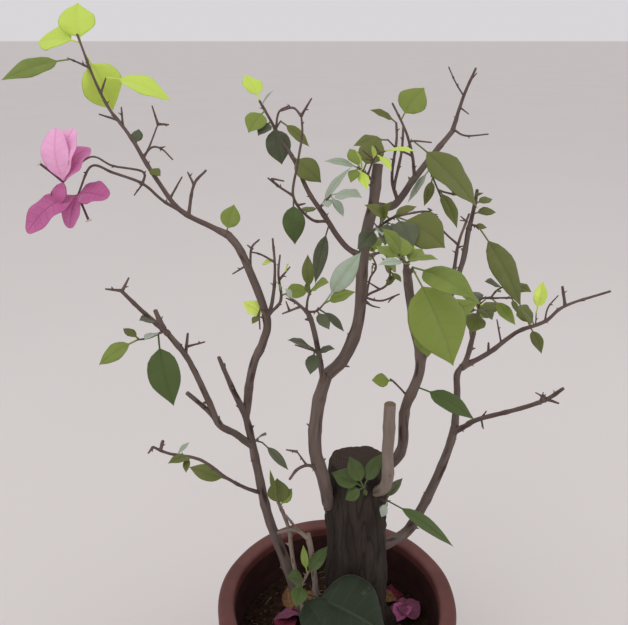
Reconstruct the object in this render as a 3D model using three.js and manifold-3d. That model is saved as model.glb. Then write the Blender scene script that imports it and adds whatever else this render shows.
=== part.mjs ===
// An old bougainvillea in a round plastic pot: a sawn-off stump with long sparse stems, broad leaves
// in small groups at their nodes, and one spray of papery pink bracts.
// Millimetres, +Z up, +X right, +Y back. The origin is the middle of the pot's flat underside.
import * as THREE from "three";
import { mergeVertices } from "three/addons/utils/BufferGeometryUtils.js";
import Module from "manifold-3d";

const wasm = await Module();
wasm.setup();

// Driving dimensions of the pot and what fills it
const CLEAR = 0.3; // gap between neighbours that touch on the real plant
const POT = {
  height: 190,
  foot: 78, // radii of the underside, the rim, the lip's inner edge and the wall's inside under the rim
  rim: 115,
  lip: 99,
  neck: 101,
  band: 32, // depth of the rim's outer band
  wall: 4,
  floor: 8,
  round: 3,
  edge: 2,
  step: 7,
  segments: 32,
};
const SOIL = { top: 142, fall: 2.5, flat: 62, slack: 0.7 };

// The stump, measured up from the soil: [height, radius] from its flared foot to the sawn top
const STUMP = {
  height: 201,
  lean: [1, -4], // how far its top lies right and back of its foot
  foot: [17, 4],
  rings: [
    [0, 40], [10, 35], [26, 31], [60, 29], [105, 27.5],
    [150, 27], [182, 28.5], [195, 28], [201, 25.5],
  ],
  sides: 20,
  // Each set of ribs: how many round, their depth over the radius, and the height in which they turn
  ribs: [[3, 0.05, 31], [5, 0.035, -19], [9, 0.02, 60]],
  flare: { count: 4, depth: 0.12, height: 26 },
};

// How limbs and leaves are shaped
const BOUGH = { sides: 6, rows: 2 };
const TWIG = { sides: 3, rows: 1 };
const TWIG_THICK = [2, 1.2];
const TUBE_THICK = [2.6, 2];
const LEAF = {
  rows: [0, 0.2, 0.42, 0.74, 1], // where its outline has corners, from its root to its tip
  small: 30, // a leaf shorter than this has fewer of them
  fewRows: [0, 0.2, 0.56, 1],
  stalk: 0.2, // share of its length that is stalk
  stalkWide: 1.6,
  full: 0.8, // its blade is broadest half-way at 1, and nearer its root below that
  taper: 0.9, // its ends are rounder the lower this is
  thick: 1,
  fold: 0.18,
  arch: 0.08,
};
const BRACT = {
  rows: [0, 0.12, 0.35, 0.65, 0.9, 1],
  small: 0,
  stalk: 0.04,
  stalkWide: 2.4,
  full: 1.1,
  taper: 0.55,
  thick: 0.8,
  fold: 0.1,
  arch: 0.16,
};
const LIGHT = new THREE.Vector3(0, -0.55, 0.835); // the side that leaves turn their faces to
const UP = new THREE.Vector3(0, 0, 1);
const SPARE = {
  leaf: [14, 26], // lengths of the small leaves and twigs that the seeded rule adds
  twig: [7, 14],
  thick: [1.6, 0.9],
  breadth: 0.6,
  along: [0.3, 0.95],
  rise: [-30, 60],
  reach: 4, // how far they may pass the space of their mass
  away: 9, // how near to another limb they may come
};
const BURIED = 2; // how far below the soil a foot starts, before it is cut flat
const LOOKS = 20; // places looked at along a limb
const SEED = { first: 101, step: 17 };

// Colours that each kind of leaf and wood has
const TONES = {
  lime: 0xb4cc50,
  green: 0x6f9442,
  olive: 0x6d7436,
  dark: 0x3f4d2a,
  grey: 0x8ba08a,
  pink: 0xc468a2,
};
const WOOD = { stump: 0x3a322c, old: 0x5f5248, young: 0x6d5c4e, cut: 0x8a7562 };
const POT_BROWN = 0x7d4740;
const SOIL_BROWN = 0x2c211b;
const ROUGH = { pot: 0.55, soil: 1, stump: 0.95, bark: 0.85, leaf: 0.7, bract: 0.8 };

// A run of a stem is [length, heading, rise]: it heads 0 to the right, 90 back, 180 left and -90 to the
// front, and rises by that many degrees. thick is the diameter at its foot and at its tip.
// foot is a place on the soil; on and at say which limb it leaves, and how far along that one.
const BOUGHS = {
  left_stem: {
    foot: [-26, 4],
    thick: [11.5, 3],
    runs: [
      [90, 180, 75], [60, -165, 75], [65, -140, 80], [45, -140, 80], [35, -140, 70], [35, -135, 70],
    ],
  },
  foot_shoot: {
    foot: [-24, -30],
    thick: [4.4, 3],
    runs: [[115, 150, 80], [30, 180, 85], [25, -160, 75]],
  },
  foot_peg: { foot: [-14, -30], thick: [5.6, 5], runs: [[108, 155, 85], [35, 145, 80]] },
  middle_stem: {
    on: "trunk",
    at: 0.65,
    thick: [12, 10],
    runs: [[26, 175, 30], [65, -105, 60], [35, -150, 75], [35, 75, 80], [30, 45, 70]],
  },
  right_centre_stem: {
    on: "trunk",
    at: 0.87,
    thick: [10, 6],
    runs: [[49, -5, 45], [60, -90, 70], [57, -75, 65], [45, -140, 75], [40, -135, 75]],
  },
  right_stem: {
    on: "trunk",
    at: 0.47,
    thick: [10.5, 7.6],
    runs: [[53, 30, 0], [25, 25, 45], [41, 30, 60], [34, 35, 65], [24, 45, 70]],
  },
  cut_stub: { on: "trunk", at: 0.85, thick: [10.4, 9.4], runs: [
    [48, -60, 35], [43, -80, 85], [39, 0, 90],
  ] },
  arching_stem: {
    on: "left_stem",
    at: 0.67,
    thick: [7.2, 6.2],
    runs: [[33, 50, 80], [18, 65, 60], [19, 15, 65], [21, 75, 65], [54, 165, 70], [20, 170, 55]],
  },
  far_left_stem: {
    on: "left_stem",
    at: 0.55,
    thick: [6.4, 4],
    runs: [[25, -140, 50], [25, -130, 45], [25, -135, 70], [45, -140, 70], [30, -140, 60]],
  },
  far_left_stub: {
    on: "far_left_stem",
    at: 0.41,
    thick: [4.6, 3.4],
    runs: [[15, -160, 60], [25, -165, 50]],
  },
  middle_crown: {
    on: "middle_stem",
    at: 1,
    thick: [10, 8.4],
    runs: [[20, 30, 35], [30, 40, 60], [35, 75, 70], [35, 75, 70], [30, 60, 65], [30, 70, 70]],
  },
  upper_right_branch: {
    on: "middle_crown",
    at: 0.81,
    thick: [6.8, 4.4],
    runs: [[25, 40, -5], [30, 45, 35], [30, 45, 35], [30, 35, 40]],
  },
  middle_left_branch: {
    on: "middle_stem",
    at: 0.95,
    thick: [4.8, 3.6],
    runs: [[40, -105, 65], [30, -110, 65], [15, -115, 60]],
  },
  tall_right_branch: {
    on: "right_centre_stem",
    at: 0.6,
    thick: [5.6, 4.2],
    runs: [[32, 65, 30], [37, 60, 25], [39, 60, 40], [29, 65, 60]],
  },
  right_crown: {
    on: "right_stem",
    at: 1,
    thick: [7.2, 4.4],
    runs: [[31, 85, 80], [21, 100, 80], [16, 25, 55], [27, 35, 75]],
  },
};

// The masses: each is one stem with twigs and leaves fused to it.
// A leaf is [place along its twig, heading, rise, length with its stalk, breadth over length].
// spare is how many small twigs and leaves the seeded rule adds.
const MASSES = {
  arching_shoot: {
    on: "arching_stem",
    at: 1,
    thick: [5, 1.8],
    spare: 1,
    runs: [
      [20, 160, 20], [20, 170, 25], [15, 160, 40], [35, 150, 50], [20, 150, 55],
      [20, 155, 50], [15, 150, 45], [25, 150, 60], [35, 155, 70],
    ],
    leaves: [
      [0.97, 105, 60, 38, 0.95],
      [0.98, 160, 0, 42, 0.85],
      [0.96, 50, -65, 52, 0.85],
      [0.54, 75, 60, 14, 0.9],
      [0.43, -45, -15, 16, 0.7],
      [0.01, 60, 60, 25, 0.8],
    ],
    twigs: [
      { at: 0.92, runs: [[15, -160, 25]], leaves: [[1, -150, -15, 55, 0.45]] },
      { at: 0.84, runs: [[13, 5, 65]], leaves: [[1, 5, -20, 53, 0.6]] },
      { at: 0.68, runs: [[15, -155, 20]] },
      { at: 0.64, runs: [[15, 100, 75]] },
      {
        at: 0.47,
        runs: [[10, 35, 55], [20, 45, 60]],
        twigs: [{ at: 1, runs: [[15, 135, 65]] }, { at: 1, runs: [[10, -20, 0]] }],
      },
      { at: 0.475, runs: [[13, -25, 40], [9, -20, -5], [12, -20, -40]] },
      { at: 0.34, runs: [[20, 30, 55]] },
      {
        at: 0.2,
        thick: [2.8, 1.8],
        runs: [[25, 55, 70], [15, 25, 45]],
        twigs: [{ at: 0.5, runs: [[11, 150, 60]] }],
      },
    ],
  },
  flower_spray: {
    on: "arching_shoot",
    at: 0.235,
    thick: [2.6, 1.6],
    tone: "pink",
    runs: [[20, -140, 35], [21, -150, 45], [23, -160, 25], [16, -165, 20], [24, -165, -60]],
    twigs: [
      {
        at: 0.4,
        runs: [[11, -65, 65], [22, -160, 15], [17, -160, 25], [27, -170, -40]],
        bracts: [
          [1, 110, 85, 38, 0.55], [1, 50, 70, 39, 0.65], [1, 40, 45, 32, 0.85],
          [1, -130, -65, 18, 0.7],
        ],
        tubes: [[1, -155, 45, 20]],
      },
      { at: 0.4, thick: [1.4, 1], runs: [[11, -165, -50]] },
    ],
    bracts: [[1, -145, -30, 46, 0.6], [1, -115, -60, 26, 0.55], [1, -20, 0, 27, 0.95]],
    tubes: [[1, -40, -60, 20]],
  },
  far_left_shoot: {
    on: "far_left_stem",
    at: 1,
    thick: [3.8, 2.4],
    tone: "dark",
    runs: [[30, -130, 50], [28, -120, 50]],
    leaves: [[0.27, -110, 25, 20, 0.6]],
    twigs: [
      { at: 0.98, runs: [[10, 40, 55]] },
      { at: 1, runs: [[10, -155, 15]] },
      { at: 0.1, thick: [4, 3.4], runs: [[15, 130, 50]] },
      {
        at: 0.07,
        runs: [[15, -125, 0], [10, -130, 10]],
        leaves: [
          [0.98, -165, -30, 32, 0.5],
          [0.9, 145, 15, 17, 0.5],
          [0.2, -105, 10, 20, 0.5],
          [0.2, -60, -65, 53, 0.55],
        ],
      },
    ],
  },
  far_left_thorns: {
    on: "far_left_stem",
    at: 0.83,
    thick: [2.6, 1.8],
    runs: [[20, -45, 75]],
    twigs: [{ at: 0.4, runs: [[15, 35, 0]] }],
  },
  lower_left_twig: {
    on: "left_stem",
    at: 0.4,
    thick: [3.4, 2],
    tone: "olive",
    runs: [[25, -135, 40], [25, -145, 45], [35, -145, 50], [30, -150, 30], [15, -150, 40]],
    leaves: [
      [0.36, 165, 10, 39, 0.45],
      [0.64, -125, 20, 30, 0.4],
      [0.68, -85, -15, 17, 0.45],
      [0.74, 40, 30, 14, 0.4],
    ],
    twigs: [{ at: 0.89, thick: [2.4, 2.6], runs: [[10, -25, 70]] }, { at: 1, runs: [[6, -140, -40]] }],
  },
  left_stem_leaves: {
    on: "left_stem",
    at: 0.58,
    thick: [1.8, 1.3],
    tone: "dark",
    runs: [[20, -55, 20]],
    leaves: [[0.98, -25, -40, 32, 0.3], [0.5, -60, 40, 26, 0.5]],
  },
  left_fork_twigs: {
    on: "arching_stem",
    at: 0.65,
    thick: [3.6, 1.6],
    tone: "lime",
    spare: 1,
    runs: [[20, -40, 70], [25, 70, 75], [25, 105, 75]],
    leaves: [[0.05, 160, 25, 25, 0.7]],
    twigs: [
      {
        at: 0.1,
        thick: [3, 1.4],
        runs: [[20, -35, 50], [25, -100, 75], [15, 75, 70]],
        leaves: [[0.4, 20, 5, 24, 0.7], [0.46, -105, 45, 17, 0.5]],
        twigs: [{ at: 0.59, runs: [[15, 50, 30]] }],
      },
      { at: 0.75, runs: [[15, 145, 15], [10, 155, 5]] },
      { at: 0.14, runs: [[15, -120, 25], [15, -90, -70]], leaves: [[0.67, -115, -15, 12, 0.6]] },
    ],
  },
  left_upper_twigs: {
    on: "arching_stem",
    at: 0.78,
    thick: [2.2, 1.4],
    spare: 1,
    runs: [[20, 55, 85], [10, 25, 45]],
    twigs: [{ at: 0.2, runs: [[17, -170, -30]] }],
  },
  leaning_branch: {
    on: "middle_crown",
    at: 0.59,
    thick: [5, 2],
    tone: "green",
    runs: [
      [20, 150, 25], [31, 140, 45], [22, 150, 50], [28, 145, 60], [23, 145, 50], [15, 165, 60],
      [18, 150, 55],
    ],
    leaves: [
      [1, 130, 45, 28, 0.8],
      [0.97, 0, 50, 15, 0.25],
      [0.93, -125, -35, 27, 0.85],
      [0.85, -125, -30, 20, 0.75],
      [0.85, -25, -75, 36, 0.75],
      [0.6, -30, -35, 35, 0.7],
      [0.24, -150, -75, 52, 0.3],
    ],
    twigs: [
      { at: 0.78, runs: [[10, -45, 45]], leaves: [[0.95, -10, -40, 31, 0.4]] },
      { at: 0.77, runs: [[15, -40, 75], [10, 10, 30]] },
    ],
  },
  leaning_side_twig: {
    on: "leaning_branch",
    at: 0.25,
    thick: [2.6, 1.4],
    tone: "green",
    runs: [[20, -135, 15], [26, -145, 50], [28, -60, 75], [22, -20, 80], [15, -105, 80]],
    leaves: [[0.4, -85, -70, 37, 0.6], [0.26, 75, 5, 20, 0.8]],
    twigs: [
      { at: 0.98, runs: [[10, 135, 30], [10, 170, -15]] },
      { at: 0.98, runs: [[15, -30, 55]] },
      {
        at: 0.41,
        runs: [[15, -160, 35], [10, -160, 40]],
        twigs: [{ at: 0.5, runs: [[12, -115, 35], [10, -20, -5]] }],
      },
      { at: 0.34, runs: [[12, 60, -5]] },
    ],
  },
  leaning_low_leaves: {
    on: "leaning_branch",
    at: 0.31,
    thick: [2.4, 1.6],
    tone: "grey",
    spare: 1,
    runs: [[8, -80, 40], [14, -40, 45]],
    leaves: [
      [0.2, 20, 50, 42, 0.25],
      [1, -45, 5, 33, 0.7],
      [0.95, -35, -50, 20, 0.55],
    ],
  },
  middle_left_leaves: {
    on: "middle_left_branch",
    at: 1,
    thick: [3, 1.6],
    tone: "green",
    spare: 2,
    runs: [[10, -140, 45], [15, -160, 45]],
    twigs: [
      {
        at: 0.15,
        runs: [[10, 80, 50], [6, 45, 55]],
        leaves: [[0.84, 100, 70, 28, 0.4], [1, -55, 30, 25, 0.6]],
      },
      {
        at: 0.08,
        runs: [[15, 60, -15], [10, 35, 35]],
        leaves: [
          [0.92, 25, 50, 46, 0.45],
          [0.87, -10, 25, 26, 0.5],
          [0.48, -60, -25, 20, 0.6],
          [0.6, 5, -45, 27, 0.3],
        ],
      },
      { at: 0.49, runs: [[15, -150, -10]] },
    ],
  },
  middle_left_low_leaves: {
    on: "middle_left_branch",
    at: 0.3,
    thick: [2, 1.6],
    tone: "dark",
    runs: [[15, -120, 45]],
    leaves: [
      [0.94, -145, 30, 26, 0.5],
      [0.66, -100, -30, 22, 0.65],
      [0.4, -40, 25, 20, 0.55],
    ],
    twigs: [{ at: 0.7, runs: [[15, 175, 15]] }],
  },
  cut_top_leaves: {
    on: "middle_crown",
    at: 0.91,
    thick: [2.6, 1.8],
    tone: "green",
    spare: 2,
    runs: [[15, -135, 40], [15, -130, 30]],
    leaves: [
      [0.82, 120, 40, 22, 0.7],
      [0.7, 50, 50, 32, 0.8],
      [0.84, -80, -25, 26, 0.4],
      [0.93, -110, -20, 22, 0.5],
      [0.75, -115, 45, 30, 0.25],
      [0.9, -145, 15, 35, 0.25],
    ],
    twigs: [
      {
        at: 0.46,
        runs: [[20, -65, 55], [10, -20, 30]],
        leaves: [
          [0.38, -100, 50, 17, 0.4],
          [0.95, -40, 5, 27, 0.3],
          [0.57, -60, -25, 22, 0.4],
        ],
      },
    ],
  },
  high_shoot: {
    on: "upper_right_branch",
    at: 0.3,
    thick: [3, 1.8],
    tone: "olive",
    spare: 1,
    runs: [[20, 140, 70], [30, 70, 70], [15, 95, 75]],
    leaves: [[1, -165, 25, 26, 0.4]],
    twigs: [{ at: 0.2, thick: [2.6, 1.8], runs: [[30, -20, 80], [20, 75, 80]] }],
  },
  high_twig: {
    on: "upper_right_branch",
    at: 0.52,
    thick: [3, 1.6],
    tone: "olive",
    runs: [[20, -160, 80], [20, 150, 70], [25, 155, 60]],
    leaves: [[0.8, 25, 50, 33, 0.95]],
    twigs: [
      { at: 0.34, runs: [[13, -115, 60], [17, -15, 0]], leaves: [[0.6, -30, -40, 76, 0.55]] },
      { at: 0.32, runs: [[15, -165, 25], [15, -140, 35]], leaves: [[0.97, -155, -5, 32, 0.6]] },
    ],
  },
  upper_right_tip: {
    on: "upper_right_branch",
    at: 1,
    thick: [3.6, 2],
    spare: 1,
    runs: [[30, 35, 70], [25, 25, 65]],
    twigs: [
      { at: 0.03, runs: [[13, -40, -20], [19, -10, 5]] },
      { at: 0.51, thick: [1.4, 1], runs: [[15, -155, 50], [15, -150, 55]] },
    ],
  },
  upper_right_leaves: {
    on: "upper_right_branch",
    at: 0.71,
    thick: [2, 1.4],
    tone: "grey",
    spare: 2,
    runs: [[15, -80, -45], [20, -40, -60]],
    leaves: [
      [0.8, -60, -45, 41, 0.4],
      [0.3, -160, -55, 35, 0.25],
      [0.55, -115, -45, 30, 0.35],
    ],
    twigs: [{ at: 0.86, runs: [[15, 0, -15]] }],
  },
  centre_leaves: {
    on: "middle_crown",
    at: 0.69,
    thick: [2.8, 1.6],
    tone: "dark",
    spare: 2,
    runs: [[15, -65, 25], [20, -50, 35], [10, -20, 25]],
    leaves: [
      [0.8, -30, -25, 45, 0.9],
      [0.79, -70, -30, 35, 0.7],
      [0.6, -100, -35, 25, 0.6],
      [0.36, -125, -20, 30, 0.6],
      [0.44, -65, 55, 28, 0.5],
      [0.34, -85, 5, 30, 0.35],
      [0.68, 30, 15, 25, 0.4],
    ],
    twigs: [{ at: 0.91, runs: [[25, 30, 0], [15, 35, -25]] }],
  },
  centre_top_leaves: {
    on: "right_centre_stem",
    at: 1,
    thick: [3.6, 2],
    tone: "lime",
    spare: 2,
    runs: [[6, -145, 75], [6, -145, 40]],
    leaves: [
      [0.6, 95, 35, 23, 0.95],
      [0.84, -155, 55, 30, 0.5],
      [0.47, -65, 20, 40, 0.3],
      [0.52, -135, 10, 30, 0.3],
      [0.29, 55, 15, 25, 0.6],
    ],
  },
  front_leaves: {
    on: "right_centre_stem",
    at: 0.97,
    thick: [3, 2],
    tone: "green",
    runs: [[12, -70, 55]],
    leaves: [
      [0.9, -50, -55, 72, 0.7],
      [1, -55, -5, 59, 0.45],
    ],
  },
  front_low_leaves: {
    on: "right_centre_stem",
    at: 0.74,
    thick: [2.6, 1.8],
    tone: "olive",
    spare: 2,
    runs: [[10, -60, 50]],
    leaves: [[1, -80, -45, 24, 0.95], [1, 10, 20, 45, 0.5]],
  },
  inner_twigs: {
    on: "middle_crown",
    at: 0.42,
    thick: [2.4, 1.4],
    tone: "olive",
    spare: 2,
    runs: [[15, -55, 45], [20, -40, 35], [15, -55, 75]],
    leaves: [[0.85, -140, 60, 20, 0.4], [0.93, -60, -15, 15, 0.5]],
    twigs: [
      { at: 0.25, runs: [[15, 15, 80], [10, 20, 60], [10, 145, 65]] },
      { at: 0.2, runs: [[20, -55, 10], [20, -45, 30]] },
      { at: 0.14, thick: [2.4, 1], runs: [[12, -65, -5], [10, -50, 5]] },
    ],
  },
  tall_right_tip: {
    on: "tall_right_branch",
    at: 1,
    thick: [4, 2.8],
    tone: "olive",
    spare: 1,
    runs: [[20, 60, 60], [15, 65, 65]],
    leaves: [[0.35, 15, 0, 22, 0.5], [0.6, 30, 5, 20, 0.5]],
    twigs: [
      { at: 0.12, runs: [[8, -50, 5]], leaves: [[1, -35, -55, 77, 0.4]] },
    ],
  },
  tall_right_companion: {
    on: "tall_right_branch",
    at: 0.55,
    thick: [3.6, 1.8],
    spare: 1,
    runs: [[30, 40, 85], [15, 60, 70], [25, 55, 50]],
    twigs: [{ at: 0.61, runs: [[15, -160, 40], [15, -155, 45]] }],
  },
  right_shoot: {
    on: "right_crown",
    at: 1,
    thick: [3.2, 1.8],
    tone: "olive",
    spare: 2,
    runs: [[25, -90, 65], [20, -105, 65], [10, -15, 15]],
    leaves: [
      [0.41, -115, -15, 34, 0.7],
      [0.48, -80, 0, 30, 0.55],
      [0.63, -135, 20, 25, 0.7],
      [1, -45, -35, 32, 0.5],
    ],
    twigs: [
      {
        at: 0.98,
        runs: [[10, -30, 60], [10, -30, 35]],
        leaves: [
          [0.71, -145, 25, 25, 0.5],
          [0.82, 180, 70, 20, 0.5],
          [0.96, -55, 5, 27, 0.6],
        ],
      },
      { at: 0.98, runs: [[15, -10, 5], [10, -30, 5]], leaves: [[0.64, -85, -25, 20, 0.4]] },
    ],
  },
  right_upper_branch: {
    on: "right_crown",
    at: 0.62,
    thick: [5.4, 2.4],
    tone: "olive",
    runs: [[31, 20, 20], [35, 20, 30], [30, 15, 15], [25, 15, 35], [47, 10, 15]],
    leaves: [
      [0.52, -155, 45, 35, 0.7],
      [0.49, -80, -30, 32, 0.45],
      [0.49, 100, 25, 27, 0.75],
    ],
    twigs: [
      { at: 0.2, thick: [2.4, 1.8], runs: [[10, 95, 75]] },
      { at: 0.29, runs: [[25, 165, 75]] },
      { at: 0.53, thick: [1.4, 1], runs: [[15, -120, 70]], leaves: [[1, 60, 65, 32, 0.5]] },
      { at: 0.6, runs: [[15, -25, 85], [15, -15, 60]] },
      { at: 0.8, thick: [3, 2.6], runs: [[20, 170, 75]] },
    ],
  },
  right_lower_branch: {
    on: "right_stem",
    at: 0.94,
    thick: [5.6, 2.8],
    spare: 1,
    runs: [[20, -55, 45], [20, -55, 45], [50, -45, 35], [30, -55, 40], [20, -50, 50]],
    twigs: [
      { at: 0.42, runs: [[10, -35, 65]] },
      { at: 0.42, runs: [[10, -85, -35]] },
      { at: 0.78, thick: [4, 3.4], runs: [[6, -145, 55]] },
      { at: 0.8, thick: [2.6, 1.6], runs: [[11, -50, 5]] },
    ],
  },
  centre_low_leaves: {
    on: "right_centre_stem",
    at: 0.46,
    thick: [1.8, 1.3],
    tone: "green",
    runs: [[20, -155, 50], [10, -140, 45]],
    leaves: [[0.75, -175, 5, 17, 0.95]],
  },
  centre_low_dark_leaf: {
    on: "right_centre_stem",
    at: 0.5,
    thick: [1.8, 1.3],
    tone: "dark",
    runs: [[8, -55, 35]],
    leaves: [[0.95, -35, -15, 49, 0.4]],
  },
  trunk_top_leaves: {
    on: "trunk",
    at: 0.9,
    thick: [2.6, 1.8],
    tone: "dark",
    spare: 1,
    runs: [[34, -85, 25], [10, -100, 40]],
    leaves: [
      [0.9, 160, 15, 30, 0.75],
      [1, 130, 50, 28, 0.65],
      [0.98, 50, 40, 32, 0.5],
      [0.95, -170, -35, 19, 0.9],
    ],
  },
  trunk_side_leaves: {
    on: "trunk",
    at: 0.87,
    thick: [2.4, 1.5],
    tone: "green",
    runs: [[35, -55, 10], [6, -50, 20]],
    leaves: [
      [1, -25, -25, 65, 0.25],
      [0.95, 160, -75, 19, 0.55],
      [0.6, 40, 35, 25, 0.4],
    ],
  },
  trunk_back_shoot: {
    on: "trunk",
    at: 0.5,
    thick: [3.4, 2],
    tone: "green",
    spare: 1,
    runs: [[45, 95, -5], [25, 85, 10], [20, 100, 15]],
    leaves: [
      [0.6, 130, 15, 26, 0.6],
      [0.7, 60, 10, 26, 0.6],
      [0.8, 110, -30, 30, 0.6],
      [1, 95, 5, 34, 0.6],
      [0.95, 70, -35, 30, 0.6],
      [0.9, 140, -20, 24, 0.65],
    ],
  },
  middle_back_leaves: {
    on: "middle_crown",
    at: 0.6,
    thick: [3, 1.8],
    tone: "green",
    spare: 1,
    runs: [[30, 70, -15], [30, 55, -5], [20, 75, 5]],
    leaves: [
      [0.45, 100, -30, 32, 0.6],
      [0.6, 20, -15, 34, 0.55],
      [0.75, 110, 0, 36, 0.6],
      [0.9, 30, -25, 40, 0.6],
      [1, 70, 5, 42, 0.6],
      [0.5, 40, -50, 30, 0.55],
    ],
  },
  right_back_leaves: {
    on: "right_crown",
    at: 0.93,
    thick: [3, 1.8],
    tone: "olive",
    spare: 1,
    runs: [[30, 80, 5], [30, 65, 10], [20, 80, 0]],
    leaves: [
      [0.45, 130, -10, 30, 0.6],
      [0.6, 30, 10, 32, 0.6],
      [0.75, 110, 15, 34, 0.55],
      [0.9, 50, -30, 36, 0.6],
      [1, 85, 0, 38, 0.6],
      [0.98, 140, -20, 30, 0.6],
    ],
  },
  curled_twig: {
    on: "middle_stem",
    at: 0.46,
    thick: [3.2, 2],
    runs: [[20, -135, 45], [15, -130, 15], [10, -135, -30]],
    twigs: [{ at: 0.4, runs: [[20, -140, 60]], twigs: [{ at: 1, runs: [[10, -155, 25]] }] }],
  },
  foot_shoot_leaves: {
    on: "foot_shoot",
    at: 1,
    thick: [3, 2],
    tone: "green",
    runs: [[15, -125, 65]],
    leaves: [
      [0.3, 105, 60, 26, 0.95],
      [0.93, 115, 55, 29, 0.2],
      [0.4, 45, 40, 19, 0.75],
    ],
  },
  foot_peg_twig: {
    on: "foot_peg",
    at: 0.93,
    thick: [4, 3],
    runs: [[15, 175, 35], [15, -170, -5]],
    twigs: [{ at: 0.35, thick: [2.6, 2], runs: [[25, -155, 60]] }],
  },
  foot_leaves: {
    foot: [-10, -42],
    thick: [3.4, 2],
    tone: "dark",
    spare: 2,
    runs: [[90, -175, 75], [35, -20, 80]],
    leaves: [
      [0.86, 50, 25, 35, 0.45],
      [0.97, 105, 55, 24, 0.35],
      [0.83, -135, 40, 27, 0.7],
      [0.73, -100, 0, 27, 0.7],
      [0.6, -15, -20, 84, 0.95],
      [0.61, -50, -30, 50, 0.8],
    ],
  },
};

// Bracts that have dropped on the soil: [right, back, heading]
const FALLEN = [
  [66, -14, -60],
  [30, -54, -75],
  [-48, -26, -150],
];
const FALLEN_SIZE = { length: 32, breadth: 0.8 };

const radians = THREE.MathUtils.degToRad;

// The unit vector of a heading and a rise.
function towards(heading, rise) {
  const h = radians(heading);
  const r = radians(rise);
  return new THREE.Vector3(Math.cos(r) * Math.cos(h), Math.cos(r) * Math.sin(h), Math.sin(r));
}

// The smooth curve through the ends of a stem's runs.
function curveOf(start, runs) {
  const points = [start.clone()];
  for (const [length, heading, rise] of runs) {
    points.push(points.at(-1).clone().addScaledVector(towards(heading, rise), length));
  }
  return new THREE.CatmullRomCurve3(points, false, "catmullrom", 0.5);
}

// A closed geometry as a solid: only positions are kept, shared corners are merged, and faces that
// have shrunk to nothing are left out.
function solidOf(geometry) {
  const bare = geometry.clone().deleteAttribute("normal").deleteAttribute("uv");
  const merged = mergeVertices(bare, 1e-4);
  const index = merged.index.array;
  const faces = [];
  for (let i = 0; i < index.length; i += 3) {
    const [a, b, c] = index.slice(i, i + 3);
    if (a !== b && b !== c && c !== a) faces.push(a, b, c);
  }
  return new wasm.Manifold(
    new wasm.Mesh({
      numProp: 3,
      vertProperties: merged.attributes.position.array,
      triVerts: new Uint32Array(faces),
    }),
  );
}

// Moves every corner of a geometry to where shape(corner) says.
function reshape(geometry, shape) {
  const at = geometry.attributes.position;
  const corner = new THREE.Vector3();
  for (let i = 0; i < at.count; i += 1) {
    const moved = shape(corner.fromBufferAttribute(at, i));
    at.setXYZ(i, moved.x, moved.y, moved.z);
  }
  return geometry;
}

// A tapering limb: a cylinder whose rings are carried along the curve and turned square to it.
function limb(curve, thick, { sides, rows }, grow = 0) {
  const steps = rows * (curve.points.length - 1);
  const frames = curve.computeFrenetFrames(steps, false);
  const unit = new THREE.CylinderGeometry(1, 1, steps, sides, steps);
  return solidOf(
    reshape(unit, ({ x, y, z }) => {
      const k = Math.round(y + steps / 2);
      const radius = THREE.MathUtils.lerp(thick[0], thick[1], k / steps) / 2 + grow;
      return curve
        .getPoint(k / steps)
        .addScaledVector(frames.normals[k], z * radius)
        .addScaledVector(frames.binormals[k], x * radius)
        .addScaledVector(frames.tangents[k], grow * Math.sign(k / steps - 0.5));
    }),
  );
}

// How broad a leaf is at t, from 0 at its root to 1 at its tip: a thin stalk, then an egg-shaped blade.
function halfWidth(t, length, breadth, kind) {
  const s = (t - kind.stalk) / (1 - kind.stalk);
  if (s <= 0) return kind.stalkWide / 2;
  const shape = Math.sin(Math.PI * s ** kind.full) ** kind.taper;
  const blade = 0.5 * breadth * length * (1 - kind.stalk) * shape;
  return t === 1 ? 0 : Math.max(blade, kind.stalkWide / 2);
}

// A leaf or bract: a four-sided cylinder drawn out along an arching midrib, its edges folded up a
// little, with its face turned to the light.
function blade(root, heading, rise, length, breadth, kind, face = LIGHT) {
  const along = towards(heading, rise);
  const up = face.clone().addScaledVector(along, -face.dot(along)).normalize();
  const side = along.clone().cross(up);
  const rows = length < kind.small ? kind.fewRows : kind.rows;
  const unit = new THREE.CylinderGeometry(1, 1, rows.length - 1, 4, rows.length - 1);
  return solidOf(
    reshape(unit, ({ x, y, z }) => {
      const t = rows[Math.round(y + (rows.length - 1) / 2)];
      const half = halfWidth(t, length, breadth, kind);
      const slim = THREE.MathUtils.lerp(kind.stalkWide, kind.thick, Math.min(t / kind.stalk, 1));
      const deep = t === 1 ? 0 : slim;
      const fold = t > kind.stalk ? kind.fold * half * Math.abs(x) : 0;
      return root
        .clone()
        .addScaledVector(along, t * length)
        .addScaledVector(side, x * half)
        .addScaledVector(up, (z * deep) / 2 + fold + kind.arch * length * Math.sin(Math.PI * t));
    }),
  );
}

// The same random numbers on every run: each is 16807 times the last, less whole 2147483647s.
function seeded(seed) {
  let state = seed;
  return () => {
    state = (state * 16807) % 2147483647;
    return state / 2147483647;
  };
}

// The largest single body of a solid, without loose scraps.
function whole(solid) {
  return solid.decompose().reduce((best, body) => (body.volume() > best.volume() ? body : best));
}

function boxesMeet(a, b) {
  const p = a.boundingBox();
  const q = b.boundingBox();
  return [0, 1, 2].every((i) => p.min[i] <= q.max[i] && q.min[i] <= p.max[i]);
}

// A solid cut back from its neighbours, each given a little fatter than it is.
function cutFrom(solid, fatNeighbours) {
  const near = fatNeighbours.filter((other) => boxesMeet(solid, other));
  return whole(near.reduce((left, other) => left.subtract(other), solid));
}

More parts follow.
